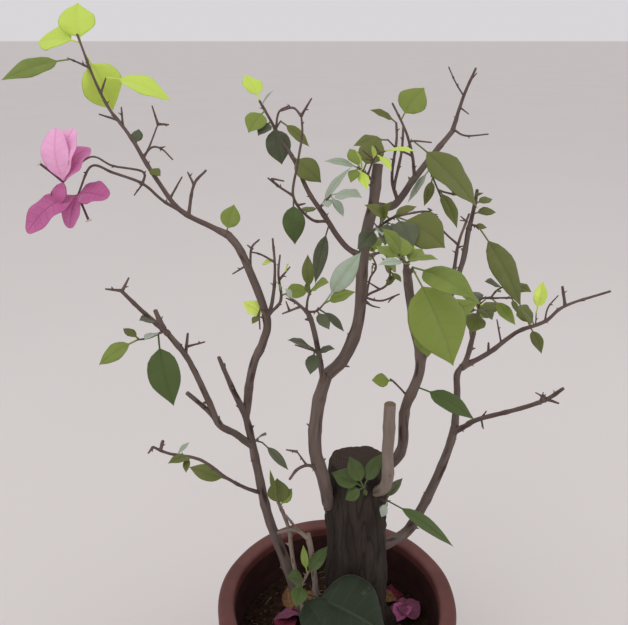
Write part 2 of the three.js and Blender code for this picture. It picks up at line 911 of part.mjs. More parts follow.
// A named mesh of a solid.
function meshOf(name, solid, color, roughness) {
  const { vertProperties, triVerts } = solid.getMesh();
  const geometry = new THREE.BufferGeometry();
  geometry.setAttribute("position", new THREE.BufferAttribute(new Float32Array(vertProperties), 3));
  geometry.setIndex(new THREE.BufferAttribute(new Uint32Array(triVerts), 1));
  geometry.computeVertexNormals();
  const mesh = new THREE.Mesh(geometry, new THREE.MeshStandardMaterial({ color, roughness, metalness: 0 }));
  mesh.name = name;
  return mesh;
}

// The inner radius of the pot's wall at a height.
function innerRadius(z) {
  const top = POT.height - POT.band;
  return THREE.MathUtils.mapLinear(z, POT.floor, top, POT.foot - POT.wall, POT.neck);
}

// A solid turned from its profile: [radius, height] points, up the outside and down the inside.
function turned(profile) {
  const points = profile.map(([radius, height]) => new THREE.Vector2(radius, height));
  const lathe = new THREE.LatheGeometry(points, POT.segments);
  return solidOf(reshape(lathe, ({ x, y, z }) => new THREE.Vector3(x, -z, y)));
}

// The pot: a flat underside, a tapering wall and a deep band under a broad rounded lip.
function makePot() {
  const { height, foot, rim, lip, band, floor, round, wall, edge, step } = POT;
  const under = height - band;
  return turned([
    [0, 0],
    [foot - round, 0],
    [foot, round],
    [innerRadius(under) + wall, under],
    [rim - edge, under],
    [rim, under + edge],
    [rim, height - round],
    [rim - round, height],
    [lip + round, height],
    [lip, height - round],
    [lip, under + step],
    [innerRadius(under - step), under - step],
    [foot - wall, floor],
    [0, floor],
  ]);
}

// The soil fills the pot to a little under its band, flat in the middle and lower at the wall.
function makeSoil() {
  const { top, fall, flat, slack } = SOIL;
  const under = POT.floor + CLEAR;
  return turned([
    [0, under],
    [innerRadius(under) - slack, under],
    [innerRadius(top - fall) - slack, top - fall],
    [flat, top],
    [0, top],
  ]);
}

// The stump: rings of its own radius and centre, knobbly all round, sawn flat at both ends.
function makeStump(grow = 0) {
  const { rings, sides, ribs, flare, lean, foot, height } = STUMP;
  const steps = rings.length - 1;
  const unit = new THREE.CylinderGeometry(1, 1, steps, sides, steps);
  const stump = reshape(unit, ({ x, y, z }) => {
    const [up, radius] = rings[Math.round(y + steps / 2)];
    const angle = Math.atan2(-z, x);
    const rib = ([count, deep, turn]) => deep * Math.sin(count * angle + up / turn);
    const knobs = ribs.reduce((sum, set) => sum + rib(set), 0);
    const roots = Math.max(0, 1 - up / flare.height) * flare.depth * Math.sin(flare.count * angle);
    const reach = radius * (1 + knobs + roots) + grow;
    const share = up / height;
    const lift = grow * Math.sign(share - 0.5);
    return new THREE.Vector3(
      foot[0] + lean[0] * share + x * reach,
      foot[1] + lean[1] * share - z * reach,
      up + lift,
    );
  });
  return solidOf(stump);
}

// The stump's own axis, which the limbs on it start from.
function stumpAxis() {
  const foot = new THREE.Vector3(STUMP.foot[0], STUMP.foot[1], 0);
  const top = foot.clone().add(new THREE.Vector3(STUMP.lean[0], STUMP.lean[1], STUMP.height));
  return new THREE.CatmullRomCurve3([foot, top], false, "catmullrom", 0.5);
}

// Everything below soil level, which cuts the foot of each stem flat.
function underground() {
  const side = 2 * POT.rim;
  return solidOf(new THREE.BoxGeometry(side, side, side).translate(0, 0, -side / 2));
}

const axes = { trunk: stumpAxis() };
const fatLimbs = [makeStump(CLEAR)];
const ground = underground();

// Where a stem starts: on the soil, a little below it so that it can be cut flat, or on its parent's axis.
function startOf({ foot, on, at }) {
  if (foot) return new THREE.Vector3(foot[0], foot[1], -BURIED);
  return axes[on].getPoint(at);
}

// A bough, cut clear of the limbs made before it.
function makeBough(name, spec) {
  const curve = curveOf(startOf(spec), spec.runs);
  const solid = cutFrom(limb(curve, spec.thick, BOUGH), [ground, ...fatLimbs]);
  axes[name] = curve;
  fatLimbs.push(limb(curve, spec.thick, BOUGH, CLEAR));
  return solid;
}

// Every twig of a mass, its stem first, as { curve, thick, spec }.
function twigsOf(spec, start) {
  const curve = curveOf(start, spec.runs);
  const thick = spec.thick ?? TWIG_THICK;
  const twigs = (spec.twigs ?? []).flatMap((twig) => twigsOf(twig, curve.getPoint(twig.at)));
  return [{ curve, thick, spec }, ...twigs];
}

// A short way clear of every limb but the one that the mass grows on.
function clearOfLimbs(point, on) {
  return Object.entries(axes).every(([name, axis]) => {
    if (name === on) return true;
    const reach = name === "trunk" ? STUMP.rings[0][1] : SPARE.away;
    return axis.getPoints(LOOKS).every((p) => p.distanceTo(point) > reach);
  });
}

// The spare growth of a mass: small twigs and leaves at seeded places on its twigs. One that would leave
// the space of the mass or come close to a limb is skipped.
function spareGrowth(spec, twigs, tips, random) {
  const room = new THREE.Box3().setFromPoints(tips).expandByScalar(SPARE.reach);
  const between = ([low, high]) => low + (high - low) * random();
  const grown = [];
  for (let i = 0; i < (spec.spare ?? 0); i += 1) {
    const twig = twigs[Math.floor(random() * twigs.length)];
    const root = twig.curve.getPoint(between(SPARE.along));
    const heading = between([0, 360]);
    const rise = between(SPARE.rise);
    const leafy = spec.tone && i % 2 === 0;
    const length = between(leafy ? SPARE.leaf : SPARE.twig);
    const tip = root.clone().addScaledVector(towards(heading, rise), length);
    if (!room.containsPoint(tip) || !clearOfLimbs(tip, spec.on)) continue;
    grown.push(
      leafy
        ? blade(root, heading, rise, length, SPARE.breadth, LEAF)
        : limb(curveOf(root, [[length, heading, rise]]), SPARE.thick, TWIG),
    );
  }
  return grown;
}

// A mass: its twigs, leaves, bracts and flower tubes in one solid, and its stem for others to grow on.
function makeMass(spec, seed) {
  const twigs = twigsOf(spec, startOf(spec));
  const tips = twigs.flatMap(({ curve }) => curve.points);
  const pieces = twigs.map(({ curve, thick }) => limb(curve, thick, TWIG));
  for (const { curve, spec: twig } of twigs) {
    for (const [at, heading, rise, length, breadth] of twig.leaves ?? []) {
      const root = curve.getPoint(at);
      tips.push(root.clone().addScaledVector(towards(heading, rise), length));
      pieces.push(blade(root, heading, rise, length, breadth, LEAF));
    }
    for (const [at, heading, rise, length, breadth] of twig.bracts ?? []) {
      pieces.push(blade(curve.getPoint(at), heading, rise, length, breadth, BRACT));
    }
    for (const [at, heading, rise, length] of twig.tubes ?? []) {
      pieces.push(limb(curveOf(curve.getPoint(at), [[length, heading, rise]]), TUBE_THICK, TWIG));
    }
  }
  pieces.push(...spareGrowth(spec, twigs, tips, seeded(seed)));
  return { solid: wasm.Manifold.union(pieces), stem: twigs[0] };
}

const tree = new THREE.Group();
tree.position.z = SOIL.top + CLEAR;
tree.add(meshOf("trunk", makeStump(), WOOD.stump, ROUGH.stump));
for (const [name, spec] of Object.entries(BOUGHS)) {
  tree.add(meshOf(name, makeBough(name, spec), name === "cut_stub" ? WOOD.cut : WOOD.old, ROUGH.bark));
}
Object.entries(MASSES).forEach(([name, spec], index) => {
  const { solid, stem } = makeMass(spec, SEED.first + SEED.step * index);
  const color = spec.tone ? TONES[spec.tone] : WOOD.young;
  tree.add(meshOf(name, cutFrom(solid, [ground, ...fatLimbs]), color, ROUGH.leaf));
  axes[name] = stem.curve;
  fatLimbs.push(limb(stem.curve, stem.thick, TWIG, CLEAR));
});

const litter = new THREE.Group();
litter.position.z = SOIL.top + CLEAR + BRACT.stalkWide / 2;
FALLEN.forEach(([right, back, heading], index) => {
  const { length, breadth } = FALLEN_SIZE;
  const solid = blade(new THREE.Vector3(), 0, 0, length, breadth, BRACT, UP);
  const mesh = meshOf(`fallen_bract_${index + 1}`, solid, TONES.pink, ROUGH.bract);
  mesh.position.set(right, back, 0);
  mesh.rotation.z = radians(heading);
  litter.add(mesh);
});

const group = new THREE.Group();
group.add(meshOf("pot", makePot(), POT_BROWN, ROUGH.pot));
group.add(meshOf("soil", makeSoil(), SOIL_BROWN, ROUGH.soil));
group.add(tree, litter);

export default group;
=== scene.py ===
"""An old bougainvillea in a round plastic pot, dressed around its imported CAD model.

The plant is grown here by the same rule as its solids: each stem is a smooth curve through a few runs, each
mass has one stem with twigs, leaves and seeded spare growth on it, and the rule is then carried to finer
twigs, thorns and buds. Lengths are millimetres until a mesh is written, which is in metres. Plant places
count up from the soil.
"""

import logging
import math
from collections.abc import Iterator, Sequence
from dataclasses import dataclass, field
from enum import Enum, IntEnum

import bpy
import numpy as np
from numpy.typing import NDArray
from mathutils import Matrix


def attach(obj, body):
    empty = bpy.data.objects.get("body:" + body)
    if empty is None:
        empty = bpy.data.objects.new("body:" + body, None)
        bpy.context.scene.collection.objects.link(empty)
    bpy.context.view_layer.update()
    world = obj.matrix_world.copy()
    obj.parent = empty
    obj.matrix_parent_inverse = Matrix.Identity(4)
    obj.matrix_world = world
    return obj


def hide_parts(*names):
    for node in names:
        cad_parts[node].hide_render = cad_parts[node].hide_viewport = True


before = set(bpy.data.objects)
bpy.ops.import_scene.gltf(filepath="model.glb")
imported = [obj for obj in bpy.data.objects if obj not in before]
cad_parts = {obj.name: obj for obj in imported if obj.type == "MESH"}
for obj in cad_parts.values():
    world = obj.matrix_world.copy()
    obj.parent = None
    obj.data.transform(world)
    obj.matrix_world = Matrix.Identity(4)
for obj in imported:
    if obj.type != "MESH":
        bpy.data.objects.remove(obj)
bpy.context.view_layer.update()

log = logging.getLogger("bougainvillea")
Array = NDArray[np.float64]
MM = 0.001

# Driving dimensions, the same as the solids', in millimetres
CLEAR = 0.3
SOIL_TOP = 142.0
PLANT_LIFT = SOIL_TOP + CLEAR
BURIED = 2.0  # how far below the soil a foot starts
LOOKS = 20  # places looked at along a limb, besides its start
LIGHT = np.array([0.0, -0.55, 0.835])  # the side that leaves turn their faces to
TWIG_THICK = (2.0, 1.2)
TUBE_THICK = (2.6, 2.0)
FALLEN_LIFT = 1.2  # how high over the soil a dropped blade's midrib lies
SEED_FIRST = 101
SEED_STEP = 17


class Tone(Enum):
    """Kinds of leaf by age, from the newest, and by light and shade painted into the colour."""

    # Young leaves, made brighter to paint the light shining through them
    LIME = "lime"
    GREEN = "green"
    OLIVE = "olive"
    DARK = "dark"
    # Painted sheen: pale tops for the light that waxy leaves reflect
    GREY = "grey"
    # Painted shade: darker copy for the leaves in the shade of the pot
    SHADE = "shade"
    # Painted shade: darker copy for the leaves in the plant's own shadow
    MOSS = "moss"


LIME, GREEN, OLIVE, DARK, GREY, SHADE, MOSS = Tone

Run = tuple[float, float, float]


@dataclass
class Shoot:
    """A stem and what grows on it.

    A run is (length, heading, rise): it heads 0 to the right, 90 back, 180 left and -90 to the front, and
    rises by that many degrees. A leaf is (at, heading, rise, length, breadth as a share of length, tone), a
    bract the same without its tone, and a tube (at, heading, rise, length).

    Attributes:
        on: The limb that it grows on, if it doesn't rise from the soil.
        at: How far along that limb, as a share of its runs.
        thick: Its diameter at the foot and at the tip.
        runs: The runs of its axis.
        leaves: The leaves on it.
        foot: Where it rises from the soil, right and back of the pot's middle.
        spare: How many spare leaves or twigs the seeded rule tries to add.
        leafy: Whether every other one of those is a leaf.
        bracts: The bracts on it.
        tubes: The flower tubes on it.
        twigs: The twigs on it, each a stem of its own.
    """

    on: str | None = None
    at: float = 1.0
    thick: tuple[float, float] = TWIG_THICK
    runs: list[Run] = field(default_factory=list)
    leaves: Sequence[tuple] = ()
    foot: tuple[float, float] | None = None
    spare: int = 0
    leafy: bool = False
    bracts: Sequence[tuple] = ()
    tubes: Sequence[tuple] = ()
    twigs: Sequence["Shoot"] = ()


def twig(at: float, runs: list[Run], leaves: Sequence[tuple] = (), **rest: object) -> Shoot:
    """A twig of a stem: how far along it grows, its runs, its leaves and what else it has."""
    return Shoot(at=at, runs=runs, leaves=leaves, **rest)


# The stems and boughs, each grown on one that comes before it
BOUGHS: dict[str, Shoot] = {
    "left_stem": Shoot(
        foot=(-26, 4), thick=(11.5, 3),
        runs=[
            (90, 180, 75), (60, -165, 75), (65, -140, 80), (45, -140, 80), (35, -140, 70), (35, -135, 70),
        ],
    ),
    "foot_shoot": Shoot(
        foot=(-24, -30), thick=(4.4, 3), runs=[(115, 150, 80), (30, 180, 85), (25, -160, 75)],
    ),
    "foot_peg": Shoot(foot=(-14, -30), thick=(5.6, 5), runs=[(108, 155, 85), (35, 145, 80)]),
    "middle_stem": Shoot(
        "trunk", 0.65, (12, 10),
        [(26, 175, 30), (65, -105, 60), (35, -150, 75), (35, 75, 80), (30, 45, 70)],
    ),
    "right_centre_stem": Shoot(
        "trunk", 0.87, (10, 6),
        [(49, -5, 45), (60, -90, 70), (57, -75, 65), (45, -140, 75), (40, -135, 75)],
    ),
    "right_stem": Shoot(
        "trunk", 0.47, (10.5, 7.6), [(53, 30, 0), (25, 25, 45), (41, 30, 60), (34, 35, 65), (24, 45, 70)],
    ),
    "cut_stub": Shoot("trunk", 0.85, (10.4, 9.4), [(48, -60, 35), (43, -80, 85), (39, 0, 90)]),
    "arching_stem": Shoot(
        "left_stem", 0.67, (7.2, 6.2),
        [(33, 50, 80), (18, 65, 60), (19, 15, 65), (21, 75, 65), (54, 165, 70), (20, 170, 55)],
    ),
    "far_left_stem": Shoot(
        "left_stem", 0.55, (6.4, 4),
        [(25, -140, 50), (25, -130, 45), (25, -135, 70), (45, -140, 70), (30, -140, 60)],
    ),
    "far_left_stub": Shoot("far_left_stem", 0.41, (4.6, 3.4), [(15, -160, 60), (25, -165, 50)]),
    "middle_crown": Shoot(
        "middle_stem", 1, (10, 8.4),
        [(20, 30, 35), (30, 40, 60), (35, 75, 70), (35, 75, 70), (30, 60, 65), (30, 70, 70)],
    ),
    "upper_right_branch": Shoot(
        "middle_crown", 0.81, (6.8, 4.4), [(25, 40, -5), (30, 45, 35), (30, 45, 35), (30, 35, 40)],
    ),
    "middle_left_branch": Shoot(
        "middle_stem", 0.95, (4.8, 3.6), [(40, -105, 65), (30, -110, 65), (15, -115, 60)],
    ),
    "tall_right_branch": Shoot(
        "right_centre_stem", 0.6, (5.6, 4.2), [(32, 65, 30), (37, 60, 25), (39, 60, 40), (29, 65, 60)],
    ),
    "right_crown": Shoot(
        "right_stem", 1, (7.2, 4.4), [(31, 85, 80), (21, 100, 80), (16, 25, 55), (27, 35, 75)],
    ),
}

# The masses of twigs and leaves, each grown on a bough or on a mass that comes before it
MASSES: dict[str, Shoot] = {
    "arching_shoot": Shoot(
        "arching_stem", 1, (5, 1.8),
        [
            (20, 160, 20), (20, 170, 25), (15, 160, 40), (35, 150, 50), (20, 150, 55), (20, 155, 50),
            (15, 150, 45), (25, 150, 60), (35, 155, 70),
        ],
        [
            (0.97, 105, 60, 38, 0.95, LIME), (0.98, 160, 0, 42, 0.85, LIME),
            (0.96, 50, -65, 52, 0.85, LIME), (0.54, 75, 60, 14, 0.9, DARK),
            (0.43, -45, -15, 16, 0.7, OLIVE), (0.01, 60, 60, 25, 0.8, GREEN),
        ],
        spare=1,
        twigs=[
            twig(0.92, [(15, -160, 25)], [(1, -150, -15, 55, 0.45, GREEN)]),
            twig(0.84, [(13, 5, 65)], [(1, 5, -20, 53, 0.6, LIME)]),
            twig(0.68, [(15, -155, 20)]),
            twig(0.64, [(15, 100, 75)]),
            twig(
                0.47, [(10, 35, 55), (20, 45, 60)],
                twigs=[twig(1, [(15, 135, 65)]), twig(1, [(10, -20, 0)])],
            ),
            twig(0.475, [(13, -25, 40), (9, -20, -5), (12, -20, -40)]),
            twig(0.34, [(20, 30, 55)]),
            twig(0.2, [(25, 55, 70), (15, 25, 45)], thick=(2.8, 1.8), twigs=[twig(0.5, [(11, 150, 60)])]),
        ],
    ),
    "flower_spray": Shoot(
        "arching_shoot", 0.235, (2.6, 1.6),
        [(20, -140, 35), (21, -150, 45), (23, -160, 25), (16, -165, 20), (24, -165, -60)],
        bracts=[(1, -145, -30, 46, 0.6), (1, -115, -60, 26, 0.55), (1, -20, 0, 27, 0.95)],
        tubes=[(1, -40, -60, 20)],
        twigs=[
            twig(
                0.4, [(11, -65, 65), (22, -160, 15), (17, -160, 25), (27, -170, -40)],
                bracts=[
                    (1, 110, 85, 38, 0.55), (1, 50, 70, 39, 0.65), (1, 40, 45, 32, 0.85),
                    (1, -130, -65, 18, 0.7),
                ],
                tubes=[(1, -155, 45, 20)],
            ),
            twig(0.4, [(11, -165, -50)], thick=(1.4, 1)),
        ],
    ),
    "far_left_shoot": Shoot(
        "far_left_stem", 1, (3.8, 2.4), [(30, -130, 50), (28, -120, 50)], [(0.27, -110, 25, 20, 0.6, DARK)],
        leafy=True,
        twigs=[
            twig(0.98, [(10, 40, 55)]),
            twig(1, [(10, -155, 15)]),
            twig(0.1, [(15, 130, 50)], thick=(4, 3.4)),
            twig(
                0.07, [(15, -125, 0), (10, -130, 10)],
                [
                    (0.98, -165, -30, 32, 0.5, GREEN), (0.9, 145, 15, 17, 0.5, OLIVE),
                    (0.2, -105, 10, 20, 0.5, GREY), (0.2, -60, -65, 53, 0.55, MOSS),
                ],
            ),
        ],
    ),
    "far_left_thorns": Shoot(
        "far_left_stem", 0.83, (2.6, 1.8), [(20, -45, 75)], twigs=[twig(0.4, [(15, 35, 0)])],
    ),
    "lower_left_twig": Shoot(
        "left_stem", 0.4, (3.4, 2),
        [(25, -135, 40), (25, -145, 45), (35, -145, 50), (30, -150, 30), (15, -150, 40)],
        [
            (0.36, 165, 10, 39, 0.45, OLIVE), (0.64, -125, 20, 30, 0.4, OLIVE),
            (0.68, -85, -15, 17, 0.45, OLIVE), (0.74, 40, 30, 14, 0.4, GREY),
        ],
        leafy=True, twigs=[twig(0.89, [(10, -25, 70)], thick=(2.4, 2.6)), twig(1, [(6, -140, -40)])],
    ),
    "left_stem_leaves": Shoot(
        "left_stem", 0.58, (1.8, 1.3), [(20, -55, 20)],
        [(0.98, -25, -40, 32, 0.3, DARK), (0.5, -60, 40, 26, 0.5, DARK)], leafy=True,
    ),
    "left_fork_twigs": Shoot(
        "arching_stem", 0.65, (3.6, 1.6), [(20, -40, 70), (25, 70, 75), (25, 105, 75)],
        [(0.05, 160, 25, 25, 0.7, LIME)], spare=1, leafy=True,
        twigs=[
            twig(
                0.1, [(20, -35, 50), (25, -100, 75), (15, 75, 70)],
                [(0.4, 20, 5, 24, 0.7, GREEN), (0.46, -105, 45, 17, 0.5, GREEN)], thick=(3, 1.4),
                twigs=[twig(0.59, [(15, 50, 30)])],
            ),
            twig(0.75, [(15, 145, 15), (10, 155, 5)]),
            twig(0.14, [(15, -120, 25), (15, -90, -70)], [(0.67, -115, -15, 12, 0.6, OLIVE)]),
        ],
    ),
    "left_upper_twigs": Shoot(
        "arching_stem", 0.78, (2.2, 1.4), [(20, 55, 85), (10, 25, 45)], spare=1,
        twigs=[twig(0.2, [(17, -170, -30)])],
    ),
    "leaning_branch": Shoot(
        "middle_crown", 0.59, (5, 2),
        [
            (20, 150, 25), (31, 140, 45), (22, 150, 50), (28, 145, 60), (23, 145, 50), (15, 165, 60),
            (18, 150, 55),
        ],
        [
            (1, 130, 45, 28, 0.8, LIME), (0.97, 0, 50, 15, 0.25, GREY), (0.93, -125, -35, 27, 0.85, GREEN),
            (0.85, -125, -30, 20, 0.75, DARK), (0.85, -25, -75, 36, 0.75, DARK),
            (0.6, -30, -35, 35, 0.7, OLIVE), (0.24, -150, -75, 52, 0.3, DARK),
        ],
        leafy=True,
        twigs=[
            twig(0.78, [(10, -45, 45)], [(0.95, -10, -40, 31, 0.4, OLIVE)]),
            twig(0.77, [(15, -40, 75), (10, 10, 30)]),
        ],
    ),
    "leaning_side_twig": Shoot(
        "leaning_branch", 0.25, (2.6, 1.4),
        [(20, -135, 15), (26, -145, 50), (28, -60, 75), (22, -20, 80), (15, -105, 80)],
        [(0.4, -85, -70, 37, 0.6, MOSS), (0.26, 75, 5, 20, 0.8, OLIVE)], leafy=True,
        twigs=[
            twig(0.98, [(10, 135, 30), (10, 170, -15)]),
            twig(0.98, [(15, -30, 55)]),
            twig(
                0.41, [(15, -160, 35), (10, -160, 40)], twigs=[twig(0.5, [(12, -115, 35), (10, -20, -5)])],
            ),
            twig(0.34, [(12, 60, -5)]),
        ],
    ),
    "leaning_low_leaves": Shoot(
        "leaning_branch", 0.31, (2.4, 1.6), [(8, -80, 40), (14, -40, 45)],
        [(0.2, 20, 50, 42, 0.25, GREY), (1, -45, 5, 33, 0.7, GREY), (0.95, -35, -50, 20, 0.55, GREY)],
        spare=1, leafy=True,
    ),
    "middle_left_leaves": Shoot(
        "middle_left_branch", 1, (3, 1.6), [(10, -140, 45), (15, -160, 45)], spare=2, leafy=True,
        twigs=[
            twig(
                0.15, [(10, 80, 50), (6, 45, 55)],
                [(0.84, 100, 70, 28, 0.4, OLIVE), (1, -55, 30, 25, 0.6, GREEN)],
            ),
            twig(
                0.08, [(15, 60, -15), (10, 35, 35)],
                [
                    (0.92, 25, 50, 46, 0.45, GREY), (0.87, -10, 25, 26, 0.5, GREEN),
                    (0.48, -60, -25, 20, 0.6, DARK), (0.6, 5, -45, 27, 0.3, DARK),
                ],
            ),
            twig(0.49, [(15, -150, -10)]),
        ],
    ),
    "middle_left_low_leaves": Shoot(
        "middle_left_branch", 0.3, (2, 1.6), [(15, -120, 45)],
        [
            (0.94, -145, 30, 26, 0.5, DARK), (0.66, -100, -30, 22, 0.65, DARK),
            (0.4, -40, 25, 20, 0.55, DARK),
        ],
        leafy=True, twigs=[twig(0.7, [(15, 175, 15)])],
    ),
    "cut_top_leaves": Shoot(
        "middle_crown", 0.91, (2.6, 1.8), [(15, -135, 40), (15, -130, 30)],
        [
            (0.82, 120, 40, 22, 0.7, GREEN), (0.7, 50, 50, 32, 0.8, OLIVE), (0.84, -80, -25, 26, 0.4, LIME),
            (0.93, -110, -20, 22, 0.5, GREEN), (0.75, -115, 45, 30, 0.25, LIME),
            (0.9, -145, 15, 35, 0.25, GREY),
        ],
        spare=2, leafy=True,
        twigs=[
            twig(
                0.46, [(20, -65, 55), (10, -20, 30)],
                [
                    (0.38, -100, 50, 17, 0.4, LIME), (0.95, -40, 5, 27, 0.3, LIME),
                    (0.57, -60, -25, 22, 0.4, LIME),
                ],
            ),
        ],
    ),
    "high_shoot": Shoot(
        "upper_right_branch", 0.3, (3, 1.8), [(20, 140, 70), (30, 70, 70), (15, 95, 75)],
        [(1, -165, 25, 26, 0.4, OLIVE)], spare=1, leafy=True,
        twigs=[twig(0.2, [(30, -20, 80), (20, 75, 80)], thick=(2.6, 1.8))],
    ),
    "high_twig": Shoot(
        "upper_right_branch", 0.52, (3, 1.6), [(20, -160, 80), (20, 150, 70), (25, 155, 60)],
        [(0.8, 25, 50, 33, 0.95, GREEN)], leafy=True,
        twigs=[
            twig(0.34, [(13, -115, 60), (17, -15, 0)], [(0.6, -30, -40, 76, 0.55, OLIVE)]),
            twig(0.32, [(15, -165, 25), (15, -140, 35)], [(0.97, -155, -5, 32, 0.6, OLIVE)]),
        ],
    ),
    "upper_right_tip": Shoot(
        "upper_right_branch", 1, (3.6, 2), [(30, 35, 70), (25, 25, 65)], spare=1,
        twigs=[
            twig(0.03, [(13, -40, -20), (19, -10, 5)]),
            twig(0.51, [(15, -155, 50), (15, -150, 55)], thick=(1.4, 1)),
        ],
    ),
    "upper_right_leaves": Shoot(
        "upper_right_branch", 0.71, (2, 1.4), [(15, -80, -45), (20, -40, -60)],
        [
            (0.8, -60, -45, 41, 0.4, OLIVE), (0.3, -160, -55, 35, 0.25, GREY),
            (0.55, -115, -45, 30, 0.35, OLIVE),
        ],
        spare=2, leafy=True, twigs=[twig(0.86, [(15, 0, -15)])],
    ),
    "centre_leaves": Shoot(
        "middle_crown", 0.69, (2.8, 1.6), [(15, -65, 25), (20, -50, 35), (10, -20, 25)],
        [
            (0.8, -30, -25, 45, 0.9, OLIVE), (0.79, -70, -30, 35, 0.7, DARK),
            (0.6, -100, -35, 25, 0.6, DARK), (0.36, -125, -20, 30, 0.6, DARK),
            (0.44, -65, 55, 28, 0.5, OLIVE), (0.34, -85, 5, 30, 0.35, GREY), (0.68, 30, 15, 25, 0.4, OLIVE),
        ],
        spare=2, leafy=True, twigs=[twig(0.91, [(25, 30, 0), (15, 35, -25)])],
    ),
    "centre_top_leaves": Shoot(
        "right_centre_stem", 1, (3.6, 2), [(6, -145, 75), (6, -145, 40)],
        [
            (0.6, 95, 35, 23, 0.95, GREEN), (0.84, -155, 55, 30, 0.5, GREEN),
            (0.47, -65, 20, 40, 0.3, GREEN), (0.52, -135, 10, 30, 0.3, GREY),
            (0.29, 55, 15, 25, 0.6, GREEN),
        ],
        spare=2, leafy=True,
    ),
    "front_leaves": Shoot(
        "right_centre_stem", 0.97, (3, 2), [(12, -70, 55)],
        [(0.9, -50, -55, 72, 0.7, GREEN), (1, -55, -5, 59, 0.45, GREEN)], leafy=True,
    ),
    "front_low_leaves": Shoot(
        "right_centre_stem", 0.74, (2.6, 1.8), [(10, -60, 50)],
        [(1, -80, -45, 24, 0.95, GREEN), (1, 10, 20, 45, 0.5, GREEN)], spare=2, leafy=True,
    ),
    "inner_twigs": Shoot(
        "middle_crown", 0.42, (2.4, 1.4), [(15, -55, 45), (20, -40, 35), (15, -55, 75)],
        [(0.85, -140, 60, 20, 0.4, OLIVE), (0.93, -60, -15, 15, 0.5, OLIVE)], spare=2, leafy=True,
        twigs=[
            twig(0.25, [(15, 15, 80), (10, 20, 60), (10, 145, 65)]),
            twig(0.2, [(20, -55, 10), (20, -45, 30)]),
            twig(0.14, [(12, -65, -5), (10, -50, 5)], thick=(2.4, 1)),
        ],
    ),
    "tall_right_tip": Shoot(
        "tall_right_branch", 1, (4, 2.8), [(20, 60, 60), (15, 65, 65)],
        [(0.35, 15, 0, 22, 0.5, OLIVE), (0.6, 30, 5, 20, 0.5, OLIVE)], spare=1, leafy=True,
        twigs=[twig(0.12, [(8, -50, 5)], [(1, -35, -55, 77, 0.4, OLIVE)])],
    ),
    "tall_right_companion": Shoot(
        "tall_right_branch", 0.55, (3.6, 1.8), [(30, 40, 85), (15, 60, 70), (25, 55, 50)], spare=1,
        twigs=[twig(0.61, [(15, -160, 40), (15, -155, 45)])],
    ),
    "right_shoot": Shoot(
        "right_crown", 1, (3.2, 1.8), [(25, -90, 65), (20, -105, 65), (10, -15, 15)],
        [
            (0.41, -115, -15, 34, 0.7, OLIVE), (0.48, -80, 0, 30, 0.55, OLIVE),
            (0.63, -135, 20, 25, 0.7, GREEN), (1, -45, -35, 32, 0.5, GREEN),
        ],
        spare=2, leafy=True,
        twigs=[
            twig(
                0.98, [(10, -30, 60), (10, -30, 35)],
                [
                    (0.71, -145, 25, 25, 0.5, DARK), (0.82, 180, 70, 20, 0.5, DARK),
                    (0.96, -55, 5, 27, 0.6, OLIVE),
                ],
            ),
            twig(0.98, [(15, -10, 5), (10, -30, 5)], [(0.64, -85, -25, 20, 0.4, OLIVE)]),
        ],
    ),
    "right_upper_branch": Shoot(
        "right_crown", 0.62, (5.4, 2.4),
        [(31, 20, 20), (35, 20, 30), (30, 15, 15), (25, 15, 35), (47, 10, 15)],
        [
            (0.52, -155, 45, 35, 0.7, OLIVE), (0.49, -80, -30, 32, 0.45, OLIVE),
            (0.49, 100, 25, 27, 0.75, OLIVE),
        ],
        leafy=True,
        twigs=[
            twig(0.2, [(10, 95, 75)], thick=(2.4, 1.8)),
            twig(0.29, [(25, 165, 75)]),
            twig(0.53, [(15, -120, 70)], [(1, 60, 65, 32, 0.5, LIME)], thick=(1.4, 1)),
            twig(0.6, [(15, -25, 85), (15, -15, 60)]),
            twig(0.8, [(20, 170, 75)], thick=(3, 2.6)),
        ],
    ),
    "right_lower_branch": Shoot(
        "right_stem", 0.94, (5.6, 2.8),
        [(20, -55, 45), (20, -55, 45), (50, -45, 35), (30, -55, 40), (20, -50, 50)], spare=1,
        twigs=[
            twig(0.42, [(10, -35, 65)]),
            twig(0.42, [(10, -85, -35)]),
            twig(0.78, [(6, -145, 55)], thick=(4, 3.4)),
            twig(0.8, [(11, -50, 5)], thick=(2.6, 1.6)),
        ],
    ),
    "centre_low_leaves": Shoot(
        "right_centre_stem", 0.46, (1.8, 1.3), [(20, -155, 50), (10, -140, 45)],
        [(0.75, -175, 5, 17, 0.95, GREEN)], leafy=True,
    ),
    "centre_low_dark_leaf": Shoot(
        "right_centre_stem", 0.5, (1.8, 1.3), [(8, -55, 35)], [(0.95, -35, -15, 49, 0.4, MOSS)], leafy=True,
    ),
    "trunk_top_leaves": Shoot(
        "trunk", 0.9, (2.6, 1.8), [(34, -85, 25), (10, -100, 40)],
        [
            (0.9, 160, 15, 30, 0.75, MOSS), (1, 130, 50, 28, 0.65, MOSS), (0.98, 50, 40, 32, 0.5, MOSS),
            (0.95, -170, -35, 19, 0.9, MOSS),
        ],
        spare=1, leafy=True,
    ),
    "trunk_side_leaves": Shoot(
        "trunk", 0.87, (2.4, 1.5), [(35, -55, 10), (6, -50, 20)],
        [(1, -25, -25, 65, 0.25, MOSS), (0.95, 160, -75, 19, 0.55, GREY), (0.6, 40, 35, 25, 0.4, DARK)],
        leafy=True,
    ),
    "trunk_back_shoot": Shoot(
        "trunk", 0.5, (3.4, 2), [(45, 95, -5), (25, 85, 10), (20, 100, 15)],
        [
            (0.6, 130, 15, 26, 0.6, GREEN), (0.7, 60, 10, 26, 0.6, OLIVE), (0.8, 110, -30, 30, 0.6, GREEN),
            (1, 95, 5, 34, 0.6, LIME), (0.95, 70, -35, 30, 0.6, DARK), (0.9, 140, -20, 24, 0.65, GREEN),
        ],
        spare=1, leafy=True,
    ),
    "middle_back_leaves": Shoot(
        "middle_crown", 0.6, (3, 1.8), [(30, 70, -15), (30, 55, -5), (20, 75, 5)],
        [
